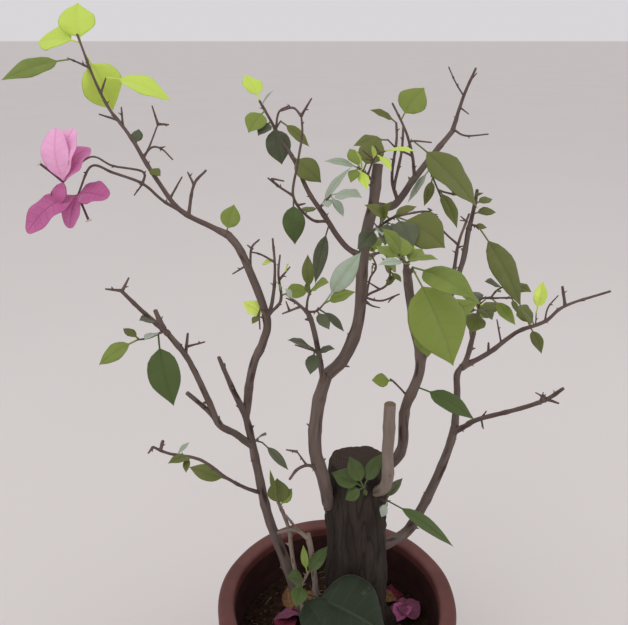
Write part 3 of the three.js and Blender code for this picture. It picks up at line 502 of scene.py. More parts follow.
            (0.45, 100, -30, 32, 0.6, GREEN), (0.6, 20, -15, 34, 0.55, OLIVE),
            (0.75, 110, 0, 36, 0.6, GREEN), (0.9, 30, -25, 40, 0.6, LIME), (1, 70, 5, 42, 0.6, DARK),
            (0.5, 40, -50, 30, 0.55, GREEN),
        ],
        spare=1, leafy=True,
    ),
    "right_back_leaves": Shoot(
        "right_crown", 0.93, (3, 1.8), [(30, 80, 5), (30, 65, 10), (20, 80, 0)],
        [
            (0.45, 130, -10, 30, 0.6, GREEN), (0.6, 30, 10, 32, 0.6, OLIVE),
            (0.75, 110, 15, 34, 0.55, GREEN), (0.9, 50, -30, 36, 0.6, LIME), (1, 85, 0, 38, 0.6, DARK),
            (0.98, 140, -20, 30, 0.6, GREEN),
        ],
        spare=1, leafy=True,
    ),
    "curled_twig": Shoot(
        "middle_stem", 0.46, (3.2, 2), [(20, -135, 45), (15, -130, 15), (10, -135, -30)],
        twigs=[twig(0.4, [(20, -140, 60)], twigs=[twig(1, [(10, -155, 25)])])],
    ),
    "foot_shoot_leaves": Shoot(
        "foot_shoot", 1, (3, 2), [(15, -125, 65)],
        [(0.3, 105, 60, 26, 0.95, OLIVE), (0.93, 115, 55, 29, 0.2, OLIVE), (0.4, 45, 40, 19, 0.75, GREEN)],
        leafy=True,
    ),
    "foot_peg_twig": Shoot(
        "foot_peg", 0.93, (4, 3), [(15, 175, 35), (15, -170, -5)],
        twigs=[twig(0.35, [(25, -155, 60)], thick=(2.6, 2))],
    ),
    "foot_leaves": Shoot(
        foot=(-10, -42), thick=(3.4, 2), spare=2, leafy=True, runs=[(90, -175, 75), (35, -20, 80)],
        leaves=[
            (0.86, 50, 25, 35, 0.45, MOSS), (0.97, 105, 55, 24, 0.35, GREEN),
            (0.83, -135, 40, 27, 0.7, MOSS), (0.73, -100, 0, 27, 0.7, MOSS),
            (0.6, -15, -20, 84, 0.95, SHADE), (0.61, -50, -30, 50, 0.8, SHADE),
        ],
    ),
}

# Bracts that have dropped on the soil and are solids too: (right, back, heading)
FALLEN = [(66, -14, -60), (30, -54, -75), (-48, -26, -150)]
FALLEN_LENGTH = 32.0
FALLEN_BREADTH = 0.8


def linear(colour: str) -> tuple[float, float, float, float]:
    """Turns an sRGB hex colour to the linear colour that a shader takes.

    Args:
        colour: A hash mark and six hex digits.

    Returns:
        Red, green, blue and an alpha of 1.
    """
    value = np.array([int(colour[i : i + 2], 16) for i in (1, 3, 5)]) / 255
    red, green, blue = np.where(value <= 0.04045, value / 12.92, ((value + 0.055) / 1.055) ** 2.4)
    return float(red), float(green), float(blue), 1.0


def towards(heading: float, rise: float) -> Array:
    """The unit vector of a heading and a rise, both in degrees."""
    turn, lift = math.radians(heading), math.radians(rise)
    return np.array([math.cos(lift) * math.cos(turn), math.cos(lift) * math.sin(turn), math.sin(lift)])


def unit(vectors: Array) -> Array:
    """Vectors of length 1 that point the same ways."""
    return vectors / np.linalg.norm(vectors, axis=-1, keepdims=True)


def smooth(low: float, high: float, value: Array | float) -> Array:
    """Rises from 0 at low to 1 at high with a level start and end: 3u^2 - 2u^3."""
    share = np.clip((np.asarray(value, float) - low) / (high - low), 0.0, 1.0)
    return share * share * (3 - 2 * share)


def circle(count: int) -> tuple[Array, Array]:
    """Angles spaced evenly round a circle, and the points of radius 1 at them, of shape (count, 2)."""
    angle = 2 * np.pi * np.arange(count) / count
    return angle, np.stack([np.cos(angle), np.sin(angle)], axis=-1)


def turned(radius: Array, height: Array, ring: Array) -> Array:
    """A profile turned about the upright axis: radius x cosine, radius x sine, height.

    Args:
        radius: How far each row of the profile is from the axis.
        height: How high it is.
        ring: The points of radius 1 round the axis.

    Returns:
        Points of shape (rows, columns, 3).
    """
    return np.dstack([radius[:, None, None] * ring[None], np.repeat(height[:, None], len(ring), 1)])


@dataclass(frozen=True)
class Lumps:
    """Smooth unevenness in space, without a grid.

    Attributes:
        size: Millimetres from crest to crest.
        seed: What fixes its directions and phases.
        waves: How many sine waves are added.
    """

    size: float
    seed: int
    waves: int = 10

    SPREAD = (0.7, 1.5)  # the shortest and the longest wave, as shares of the size

    def __call__(self, places: Array) -> Array:
        """The sum of sine waves in seeded directions, divided so that it is mostly within -1 to 1.

        Args:
            places: Points of shape (..., 3) in millimetres.

        Returns:
            One height for each point.
        """
        dice = np.random.default_rng(self.seed)
        ways = unit(dice.normal(size=(self.waves, 3)))
        pitch = self.size * dice.uniform(*self.SPREAD, self.waves)
        phase = dice.uniform(0, 2 * np.pi, self.waves)
        turns = places @ (ways * (2 * np.pi / pitch)[:, None]).T + phase
        return np.sin(turns).sum(axis=-1) / math.sqrt(self.waves)


class Curve:
    """The smooth curve through control points that the solids have too.

    Attributes:
        points: The control points, of shape (count, 3).
        slopes: The slope at each: half the way from the point before to the one after. Past either end the
            points are taken to go straight on.
    """

    STEPS = 24  # straight steps in which each piece is measured

    def __init__(self, points: Array) -> None:
        """Takes the control points and works out their slopes."""
        padded = np.vstack([2 * points[0] - points[1], points, 2 * points[-1] - points[-2]])
        self.points = points
        self.slopes = (padded[2:] - padded[:-2]) / 2

    @classmethod
    def grown(cls, start: Array, runs: Sequence[Run]) -> "Curve":
        """The curve through the ends of runs that are laid end to end from a start."""
        steps = [length * towards(heading, rise) for length, heading, rise in runs]
        return cls(np.vstack([start, start + np.cumsum(steps, axis=0)]))

    def at(self, share: Array | float) -> Array:
        """Points on it: cubic pieces, each from one control point to the next.

        A piece is a + s u + (3(b - a) - 2s - e) u^2 + (2(a - b) + s + e) u^3, with a and b its ends and
        s and e the slopes there.

        Args:
            share: 0 at the start to 1 at the tip, each piece taking the same share.

        Returns:
            A point for each share.
        """
        place = np.clip(np.asarray(share, float), 0, 1) * (len(self.points) - 1)
        piece = np.minimum(place.astype(int), len(self.points) - 2)
        u = (place - piece)[..., None]
        a, b = self.points[piece], self.points[piece + 1]
        s, e = self.slopes[piece], self.slopes[piece + 1]
        return a + s * u + (3 * (b - a) - 2 * s - e) * u**2 + (2 * (a - b) + s + e) * u**3

    def even(self, pitch: float) -> tuple[Array, Array]:
        """Shares along it that lie about a pitch apart, and how far along it each one is."""
        fine = np.linspace(0, 1, self.STEPS * (len(self.points) - 1) + 1)
        steps = np.linalg.norm(np.diff(self.at(fine), axis=0), axis=1)
        along = np.concatenate([[0], np.cumsum(steps)])
        places = np.linspace(0, along[-1], max(4, round(along[-1] / pitch) + 1))
        return np.interp(places, along, fine), places


def side_frames(centres: Array, past: Sequence[float] = ()) -> tuple[Array, Array, Array, Array]:
    """A path carried straight on past its end, and at each of its points three directions.

    They are its tangent and two more, square to it and to each other. Those come from one fixed axis, the
    one of 13 that the path is never close to, so that nothing twists.

    Args:
        centres: The points of the path, of shape (rows, 3).
        past: How far past its end each further point lies.

    Returns:
        The points, the tangents and the two side directions, each of shape (rows + further points, 3).
    """
    tangents = unit(np.gradient(centres, axis=0))
    grid = np.array(np.meshgrid([-1, 0, 1], [-1, 0, 1], [-1, 0, 1])).reshape(3, -1).T
    axes = unit(grid[:13].astype(float))
    clear = np.linalg.norm(np.cross(tangents[:, None], axes[None]), axis=-1).min(axis=0)
    first = unit(np.cross(tangents, axes[clear.argmax()]))
    further = np.asarray(past, float)[:, None] * tangents[-1]
    rows = np.minimum(np.arange(len(centres) + len(further)), len(centres) - 1)
    path = np.vstack([centres, centres[-1] + further])
    return path, tangents[rows], first[rows], np.cross(tangents, first)[rows]


def carried(centres: Array, first: Array, second: Array, reach: Array, ring: Array) -> Array:
    """Rings carried along a path: centre + reach (cosine x first + sine x second).

    Args:
        centres: The points of the path, of shape (rows, 3).
        first: A direction square to it at each.
        second: The direction square to both.
        reach: How far each point is from the path, of shape (rows, columns).
        ring: The points of radius 1 round it, of shape (columns, 2).

    Returns:
        Points of shape (rows, columns, 3).
    """
    along_first, along_second = reach * ring[:, 0], reach * ring[:, 1]
    rings = centres[:, None] + along_first[..., None] * first[:, None]
    return rings + along_second[..., None] * second[:, None]


def add(
    tree: bpy.types.NodeTree, kind: str, plugs: dict | None = None, **settings: object
) -> bpy.types.Node:
    """Adds a node with its settings, and fills or links its sockets.

    Args:
        tree: The node tree to add to.
        kind: The node's type name.
        plugs: For each input, by name or number, a value or the output that feeds it.
        **settings: The node's own properties.

    Returns:
        The node.
    """
    made = tree.nodes.new(kind)
    for name, value in settings.items():
        setattr(made, name, value)
    for name, value in (plugs or {}).items():
        if isinstance(value, bpy.types.NodeSocket):
            tree.links.new(value, made.inputs[name])
        else:
            made.inputs[name].default_value = value
    return made


@dataclass(frozen=True)
class Finish:
    """A material: what it is, its two colours and how it takes light.

    Attributes:
        name: The real material and how its surface was made.
        colour: Its main colour.
        second: The colour that it drifts to in places.
        roughness: From 0, a mirror, to 1, chalk.
        patch: Millimetres across a place of the second colour.
        grain: Millimetres across the fine relief that is too small to be in the mesh.
        relief: Height of that relief in millimetres.
        specular: The shader's specular level, where 0.5 is a plain gloss.
    """

    name: str
    colour: str
    second: str
    roughness: float
    patch: float = 12.0
    grain: float = 1.0
    relief: float = 0.05
    specular: float = 0.5

    DRIFT = (0.38, 0.66)  # the noise values where the main colour ends and the second begins

    def coordinates(self, tree: bpy.types.NodeTree) -> bpy.types.NodeSocket:
        """Where the patterns are read: the piece's own place, in metres."""
        return add(tree, "ShaderNodeTexCoord").outputs["Object"]

    def noise(self, tree: bpy.types.NodeTree, where: bpy.types.NodeSocket, size: float) -> bpy.types.Node:
        """Noise whose blots are that many millimetres across."""
        return add(tree, "ShaderNodeTexNoise", {"Vector": where, "Scale": 1 / (size * MM), "Detail": 4.0})

    def paint(self, tree: bpy.types.NodeTree, where: bpy.types.NodeSocket) -> bpy.types.NodeSocket:
        """The colour: soft patches of the second in the first."""
        blots = self.noise(tree, where, self.patch)
        ramp = add(tree, "ShaderNodeValToRGB", {"Fac": blots.outputs["Fac"]})
        for count, colour in enumerate((self.colour, self.second)):
            ramp.color_ramp.elements[count].position = self.DRIFT[count]
            ramp.color_ramp.elements[count].color = linear(colour)
        return ramp.outputs["Color"]

    def extras(self, shader: bpy.types.Node) -> None:
        """What else the shader needs, set on its own sockets."""

    def dress(self) -> bpy.types.Material:
        """Makes the material, once.

        Returns:
            The material, made by an earlier call if there was one.
        """
        if self.name in bpy.data.materials:
            return bpy.data.materials[self.name]
        material = bpy.data.materials.new(self.name)
        material.use_nodes = True
        tree = material.node_tree
        tree.nodes.clear()
        where = self.coordinates(tree)
        fine = self.noise(tree, where, self.grain)
        height = {"Height": fine.outputs["Fac"], "Strength": 1.0, "Distance": self.relief * MM}
        bump = add(tree, "ShaderNodeBump", height)
        surface = {
            "Base Color": self.paint(tree, where),
            "Roughness": self.roughness,
            "Specular IOR Level": self.specular,
            "Normal": bump.outputs["Normal"],
        }
        shader = add(tree, "ShaderNodeBsdfPrincipled", surface)
        self.extras(shader)
        add(tree, "ShaderNodeOutputMaterial", {"Surface": shader.outputs["BSDF"]})
        material.diffuse_color = linear(self.colour)
        return material


@dataclass(frozen=True)
class Bark(Finish):
    """Bark, read along its own limb, with fibres that run lengthwise and painted shade in its cracks.

    Attributes:
        crack_shade: The colour of the painted shade deep in a crack.
        fibre: How many times longer than wide its flecks are.
    """

    crack_shade: str = "#2b231e"
    fibre: float = 6.0

    def coordinates(self, tree: bpy.types.NodeTree) -> bpy.types.NodeSocket:
        """The place on the limb as if it were straight, squeezed lengthwise so that the flecks are long."""
        straight = add(tree, "ShaderNodeAttribute", attribute_name="straight")
        squeeze = {"Vector": straight.outputs["Vector"], "Scale": (1.0, 1.0, 1.0 / self.fibre)}
        return add(tree, "ShaderNodeMapping", squeeze).outputs["Vector"]

    def paint(self, tree: bpy.types.NodeTree, where: bpy.types.NodeSocket) -> bpy.types.NodeSocket:
        """Two barks in flecks, darkened with painted shade where the mesh has a crack."""
        flecks = super().paint(tree, where)
        depth = add(tree, "ShaderNodeAttribute", attribute_name="crack_shade")
        plugs = {"Factor": depth.outputs["Fac"], "A": flecks, "B": linear(self.crack_shade)}
        return add(tree, "ShaderNodeMix", plugs, data_type="RGBA").outputs["Result"]


@dataclass(frozen=True)
class SawnWood(Bark):
    """A sawn or snapped face, with year rings round the limb's middle.

    Attributes:
        ring: Millimetres from one year ring to the next.
    """

    ring: float = 1.6

    CREST = 0.314  # metres from crest to crest of the wave texture at scale 1
    WANDER = 1.6

    def paint(self, tree: bpy.types.NodeTree, where: bpy.types.NodeSocket) -> bpy.types.NodeSocket:
        """Two woods in rings that wander a little."""
        straight = add(tree, "ShaderNodeAttribute", attribute_name="straight").outputs["Vector"]
        wave = {"Vector": straight, "Scale": self.CREST / (self.ring * MM), "Distortion": self.WANDER}
        rings = add(tree, "ShaderNodeTexWave", wave, wave_type="RINGS", rings_direction="Z")
        plugs = {"Factor": rings.outputs["Fac"], "A": linear(self.colour), "B": linear(self.second)}
        return add(tree, "ShaderNodeMix", plugs, data_type="RGBA").outputs["Result"]


@dataclass(frozen=True)
class LeafSkin(Finish):
    """A leaf's or bract's skin.

    Attributes:
        sheen: How much of the soft bloom at grazing light it has.
    """

    sheen: float = 0.0

    def extras(self, shader: bpy.types.Node) -> None:
        """A faint bloom of fine hairs and wax."""
        shader.inputs["Sheen Weight"].default_value = self.sheen
        shader.inputs["Sheen Roughness"].default_value = 0.4


class Skin:
    """Closed surfaces joined into one mesh, with a finish for each face and values for each corner."""

    def __init__(self, finishes: Sequence[Finish]) -> None:
        """Starts an empty mesh whose faces may take any of the finishes, by their number."""
        self.finishes = list(finishes)
        self.corners: list[Array] = []
        self.quads: list[Array] = [np.zeros((0, 4), int)]
        self.triangles: list[Array] = []
        self.quad_finish: list[Array] = []
        self.triangle_finish: list[Array] = []
        self.straight: list[Array] = []
        self.crack_shade: list[Array] = []
        self.count = 0

    def loft(
        self,
        rings: Array,
        finish: Array | int = 0,
        poles: tuple[Array, Array] | None = None,
        end_finish: int | None = None,
        straight: Array | None = None,
        crack_shade: Array | None = None,
    ) -> None:
        """Adds a closed surface: quads between neighbouring rings, and a fan of triangles on each end.

        Args:
            rings: Points of shape (rows, columns, 3). Each ring turns anticlockwise seen from the end.
            finish: The finish of each quad, of shape (rows - 1, columns), or one for all.
            poles: The middle points of the two fans, or None for the middles of the end rings.
            end_finish: The finish of the second fan, or None for that of the last quads.
            straight: Where each point lies if the limb were straight, of the rings' shape.
            crack_shade: How deep in a crack each point is, which sets its painted shade, of shape (rows,
                columns).
        """
        rows, columns = rings.shape[:2]
        points = rows * columns
        ids = self.count + np.arange(points).reshape(rows, columns)
        following = np.roll(ids, -1, axis=1)
        quads = np.stack([ids[:-1], following[:-1], following[1:], ids[1:]], axis=-1)
        fan_in = np.stack([np.full(columns, self.count + points), following[0], ids[0]], axis=-1)
        fan_out = np.stack([np.full(columns, self.count + points + 1), ids[-1], following[-1]], axis=-1)
        codes = np.broadcast_to(np.asarray(finish), (rows - 1, columns))
        out_codes = codes[-1] if end_finish is None else np.full(columns, end_finish)
        flat = rings if straight is None else straight
        tips = poles or (rings[0].mean(axis=0), rings[-1].mean(axis=0))
        self.corners += [rings.reshape(-1, 3), np.stack(tips)]
        self.quads.append(quads.reshape(-1, 4))
        self.quad_finish.append(codes.reshape(-1))
        self.triangles += [fan_in, fan_out]
        self.triangle_finish += [codes[0], out_codes]
        self.straight += [flat.reshape(-1, 3), np.stack([flat[0].mean(axis=0), flat[-1].mean(axis=0)])]
        self.crack_shade += [np.zeros(points) if crack_shade is None else crack_shade.reshape(-1), np.zeros(2)]
        self.count += points + 2

    def scatter(self, corners: Array, faces: Array, finish: Array) -> None:
        """Adds many copies of one small closed shape.

        Args:
            corners: Points of shape (copies, points, 3).
            faces: The shape's triangles, of shape (faces, 3), turned outwards.
            finish: The finish of each copy.
        """
        copies, points = corners.shape[:2]
        offsets = self.count + points * np.arange(copies)
        self.corners.append(corners.reshape(-1, 3))
        self.triangles.append((faces[None] + offsets[:, None, None]).reshape(-1, 3))
        self.triangle_finish.append(np.repeat(finish, len(faces)))
        self.straight.append(corners.reshape(-1, 3))
        self.crack_shade.append(np.zeros(copies * points))
        self.count += copies * points

    def piece(self, name: str, slot: str, nodes: Sequence[str], lift: float = 0.0) -> None:
        """Makes the Blender object, at the origin with its place in its mesh, and says what it stands for.

        Args:
            name: The object's name.
            slot: The name of a material slot; not used.
            nodes: The CAD nodes that it replaces.
            lift: Millimetres to raise it by.
        """
        quads, triangles = np.concatenate(self.quads), np.concatenate(self.triangles)
        loops = np.concatenate([quads.ravel(), triangles.ravel()])
        starts = np.concatenate([4 * np.arange(len(quads)), quads.size + 3 * np.arange(len(triangles))])
        finish = np.concatenate(self.quad_finish + self.triangle_finish)
        used, codes = np.unique(finish, return_inverse=True)
        corners = (np.concatenate(self.corners) + (0, 0, lift)) * MM
        mesh = bpy.data.meshes.new(name)
        mesh.vertices.add(len(corners))
        mesh.vertices.foreach_set("co", corners.astype(np.float32).ravel())
        mesh.loops.add(len(loops))
        mesh.loops.foreach_set("vertex_index", loops.astype(np.int32))
        mesh.polygons.add(len(starts))
        mesh.polygons.foreach_set("loop_start", starts.astype(np.int32))
        mesh.polygons.foreach_set("material_index", codes.astype(np.int32))
        mesh.polygons.foreach_set("use_smooth", np.ones(len(codes), bool))
        straight = mesh.attributes.new("straight", "FLOAT_VECTOR", "POINT")
        straight.data.foreach_set("vector", (np.concatenate(self.straight) * MM).astype(np.float32).ravel())
        crack_shade = mesh.attributes.new("crack_shade", "FLOAT", "POINT")
        crack_shade.data.foreach_set("value", np.concatenate(self.crack_shade).astype(np.float32))
        mesh.update(calc_edges=True)
        for code in used:
            mesh.materials.append(self.finishes[code].dress())
        made = bpy.data.objects.new(name, mesh)
        bpy.context.scene.collection.objects.link(made)
        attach(made, "root")
        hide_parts(*nodes)
        log.info("%s: %d triangles for %s", name, 2 * len(quads) + len(triangles), ", ".join(nodes))


# Barks and woods: each limb piece may take any of these, by their order in Wood
# Each bark's crack_shade colour paints the shade deep in its cracks
BARKS: list[Finish] = [
    # Bougainvillea stem bark, dry and finely fissured: dull grey-brown with paler flecks
    Bark("stem_bark_dry", "#63554f", "#74665f", 0.85, 5.0, 0.9, 0.2, 0.25, crack_shade="#40342f"),
    # Bark of this year's twigs, thin and smooth: warmer brown
    Bark("twig_bark_smooth", "#604f4a", "#705f58", 0.75, 4.0, 0.7, 0.1, 0.3, crack_shade="#45372f"),
    # Bark of the shoots at the foot, corky and dusty: light brown
    Bark("foot_bark_corky", "#7b6e65", "#8b7d73", 0.9, 4.0, 0.9, 0.2, 0.2, crack_shade="#54463a"),
    # Old stump bark, plated: nearly black brown, darker than the stems to paint the crown's shade on it
    Bark("stump_bark_plated", "#302925", "#3e3630", 0.92, 11.0, 1.4, 0.4, 0.2, "#1a1512", 4.0),
    # Weathered sawn wood: grey-brown with faint year rings
    SawnWood("sawn_wood_weathered", "#8f7a66", "#7b6755", 0.9, 6.0, 0.8, 0.15, 0.2),
    # Sawn top of the stump, old: dark with faint rings, darkened to paint the crown's shade on it
    SawnWood("sawn_wood_old", "#4b3f37", "#3c322c", 0.95, 6.0, 1.0, 0.3, 0.2, ring=2.2),
]


class Wood(IntEnum):
    """Which of the barks and woods a face has."""

    STEM = 0
    TWIG = 1
    FOOT = 2
    STUMP = 3
    SAWN = 4
    SAWN_OLD = 5


# Waxy leaves, greener or duller by age, and lighter or darker where light or shade is painted into a tone:
# for each tone the top, a fresher top, the paler underside, the midrib and stalk, and how rough the top is
LEAF_COLOURS: dict[Tone, tuple[str, str, str, str, float]] = {
    # Young leaves, made brighter to paint the light shining through them
    LIME: ("#e6f777", "#cae35f", "#cbe072", "#cfe168", 0.55),
    GREEN: ("#74853a", "#80903f", "#8c9a5c", "#7c8c42", 0.5),
    OLIVE: ("#5f6530", "#697036", "#767d4c", "#686f39", 0.52),
    DARK: ("#545a43", "#5e644b", "#6d735a", "#5c624a", 0.5),
    # Painted sheen: pale grey-green tops for the light that waxy leaves reflect
    GREY: ("#9cac94", "#adbaa5", "#b0bba8", "#aab7a2", 0.45),
    # Painted shade: nearly black green for the leaves in the shade of the pot
    SHADE: ("#1f2a17", "#222d1a", "#3a4630", "#2b3620", 0.55),
    # Painted shade: dull dark green for the leaves in the plant's own shadow
    MOSS: ("#47552b", "#4f6030", "#616c49", "#4f5f33", 0.5),
}
SKINS_OF_A_TONE = 4


def leaf_finishes() -> list[Finish]:
    """The skins of all tones, four for each: a waxy top in two shades, a matte underside and a rib."""
    made: list[Finish] = []
    for tone, (plain, second, under, rib, gloss) in LEAF_COLOURS.items():
        name = f"{tone.value}_leaf"
        made += [
            LeafSkin(f"{name}_waxy", plain, second, gloss, 16.0, 0.8, 0.08, 0.3, sheen=0.08),
            LeafSkin(f"{name}_waxy_fresh", second, second, gloss, 6.0, 0.8, 0.08, 0.3, sheen=0.08),
            LeafSkin(f"{name}_underside", under, under, 0.7, 6.0, 0.8, 0.08, 0.2, sheen=0.1),
            LeafSkin(f"{name}_rib", rib, rib, 0.55, 6.0, 0.8, 0.05, 0.3),
        ]
    return made


class BractShade(IntEnum):
    """The shades of bract, as numbers of their first skin."""

    PALE = 0
    PINK = 3
    DEEP = 6
    WITHERED = 9
    FADED = 12

    def codes(self) -> tuple[int, int, int]:
        """The numbers of its face, its back and its veins."""
        return self.value, self.value + 1, self.value + 2


PALE, PINK, DEEP, WITHERED, FADED = BractShade

# Papery bracts: for each shade the face, a drift of its colour, the back and the veins
BRACT_COLOURS: dict[BractShade, tuple[str, str, str, str]] = {
    PALE: ("#f7b8de", "#f2acd6", "#e69cca", "#eea6d0"),
    PINK: ("#dc82b8", "#d277ac", "#cb70a6", "#cc70a6"),
    DEEP: ("#c2669a", "#b75c8f", "#ad5686", "#ae5587"),
    WITHERED: ("#7a2a3f", "#6c2438", "#6b2436", "#5e1f30"),
    FADED: ("#8e5069", "#7f4660", "#7b4760", "#734058"),
}


def bract_finishes() -> list[Finish]:
    """The skins of all shades, three for each: a papery face, a back and a vein, duller once dropped."""
    made: list[Finish] = []
    for shade, (face, second, back, vein) in BRACT_COLOURS.items():
        name = f"bract_{shade.name.lower()}"
        rough, specular, sheen = (0.75, 0.2, 0.1) if shade in (WITHERED, FADED) else (0.65, 0.3, 0.2)
        made += [
            LeafSkin(f"{name}_papery", face, second, rough, 9.0, 0.6, 0.06, specular, sheen=sheen),
            LeafSkin(f"{name}_back", back, back, rough + 0.05, 5.0, 0.6, 0.06, specular, sheen=sheen),
            LeafSkin(f"{name}_vein", vein, vein, rough, 5.0, 0.6, 0.03, specular),
        ]
    return made


LEAF_SKINS = leaf_finishes()
BRACT_SKINS = bract_finishes()

# The flower tube's downy skin, dull purple, and its cream mouth
TUBE_SKINS: list[Finish] = [
    LeafSkin("tube_downy", "#5b3a4c", "#6c4a55", 0.75, 4.0, 0.5, 0.1, 0.2, sheen=0.4),
    LeafSkin("star_cream", "#ded9c6", "#cfd0b2", 0.7, 2.0, 0.5, 0.1, 0.3),
]


@dataclass
class Limb:
    """A tapering limb: rings of its own radius carried along its curve, with the relief of its bark.

    Attributes:
        curve: Its axis.
        thick: Its diameter at the foot and at the tip.
        finish: The number of its bark.
        sides: Points round it.
        pitch: Millimetres from ring to ring.
        seed: What fixes its relief.
        relief: Height of the lumps as a share of its radius.
        collar: How much thicker it is where it leaves its parent.
        nodes: Shares of the way along where it swells.
        swell: How much it swells there.
        sawn: Whether its tip is a flat cut.
    """

    curve: Curve
    thick: tuple[float, float]
    finish: int = Wood.TWIG
    sides: int = 8
    pitch: float = 2.2
    seed: int = 1
    relief: float = 0.05
    collar: float = 0.35
    nodes: Sequence[float] = ()
    swell: float = 0.14
    sawn: bool = False

    # How a tip closes: (how far past the last ring, radius), both as shares of the tip's radius
    ROUND = ((0.35, 0.86), (0.58, 0.55), (0.68, 0.25))
    SAWN = ((0.06, 0.94), (0.08, 0.8), (0.05, 0.4))

    # What the relief is made of, in foot diameters, and how far it is squeezed to run lengthwise
    LUMP_SQUEEZE = (1, 1, 0.45)
    FIBRE = 0.45
    FIBRE_SQUEEZE = (1, 1, 0.14)
    CRACK = (0.7, 1.5)  # the fibres' heights from which they crack and where a crack is deepest
    CRACK_DEPTH = 1.2  # as a share of the relief
    LEAST = 2.0  # the least diameter that all this is worked out from
    BELL = (0.3, 1.2)  # a swelling's length: in foot diameters, and the millimetres added
    COLLAR = (0.5, 0.6)  # how long the collar is full and how soon it dies away, in foot diameters

    def build(self, skin: Skin) -> None:
        """Adds it to a mesh.

        The reach of a point is radius (1 + lumps + swellings + collar - cracks), where the lumps are long
        along the limb, a swelling is a bell round each node, and the collar dies away from the foot.
        """
        shares, along = self.curve.even(self.pitch)
        nodes = np.interp(self.nodes, shares, along)
        radius = (self.thick[0] + (self.thick[1] - self.thick[0]) * shares) / 2
        past, narrow = np.array(self.SAWN if self.sawn else self.ROUND).T
        past = past * radius[-1]
        centres, _, first, second = side_frames(self.curve.at(shares), past)
        along = np.append(along, along[-1] + past)
        radius = np.append(radius, radius[-1] * narrow)
        _, ring = circle(self.sides)
        straight = turned(radius, along, ring)
        size = max(self.thick[0], self.LEAST)
        lumps = self.relief * Lumps(size, self.seed)(straight * self.LUMP_SQUEEZE)
        fibres = Lumps(size * self.FIBRE, self.seed + 1)(straight * self.FIBRE_SQUEEZE)
        cracks = smooth(*self.CRACK, fibres)
        spread = self.BELL[0] * size + self.BELL[1]
        bells = np.exp(-(((along[:, None] - nodes[None]) / spread) ** 2)).sum(axis=1)
        level, fade = self.COLLAR[0] * size, self.COLLAR[1] * size
        collar = self.collar * np.exp(-np.maximum(along - level, 0) / fade)
        grown = 1 + lumps + (self.swell * bells + collar)[:, None] - self.CRACK_DEPTH * self.relief * cracks
        rings = carried(centres, first, second, radius[:, None] * grown, ring)
        codes = np.full((len(rings) - 1, self.sides), int(self.finish))
        end = None
        if self.sawn:
            codes[-2:] = end = Wood.SAWN
        # The cracks also darken the bark's colour: painted shade
        skin.loft(rings, codes, end_finish=end, straight=straight, crack_shade=cracks)


@dataclass
class Leaf:
    """Where a leaf or bract grows and how large it is."""

    root: Array
    along: Array
    length: float
    breadth: float
    tone: Tone | None = None


@dataclass(frozen=True)
class Columns:
    """The section of a blade: where its points lie, from -1 at one margin to 1 at the other.

    Attributes:
        top: The upper face, margins included.
        under: The underside, back from the second margin.
    """

    top: tuple[float, ...]
    under: tuple[float, ...]

    def places(self) -> Array:
        """All of them, in the order round the section."""
        return np.array(self.top + self.under)

    def circle(self) -> Array:
        """The angle of each on a round stalk, from half a turn down to minus half a turn."""
        upper = np.linspace(np.pi, 0, len(self.top))
        lower = -np.pi * np.arange(1, len(self.under) + 1) / (len(self.under) + 1)
        return np.concatenate([upper, lower])


FINE_COLUMNS = Columns(
    (-1, -0.93, -0.77, -0.52, -0.26, -0.05, 0, 0.05, 0.26, 0.52, 0.77, 0.93, 1),
    (0.93, 0.77, 0.52, 0.26, 0.05, -0.05, -0.26, -0.52, -0.77, -0.93),
)
PLAIN_COLUMNS = Columns((-1, -0.7, -0.35, 0, 0.35, 0.7, 1), (0.7, 0.35, 0, -0.35, -0.7))
RIB = 0.06  # places nearer the middle than this are on the midrib


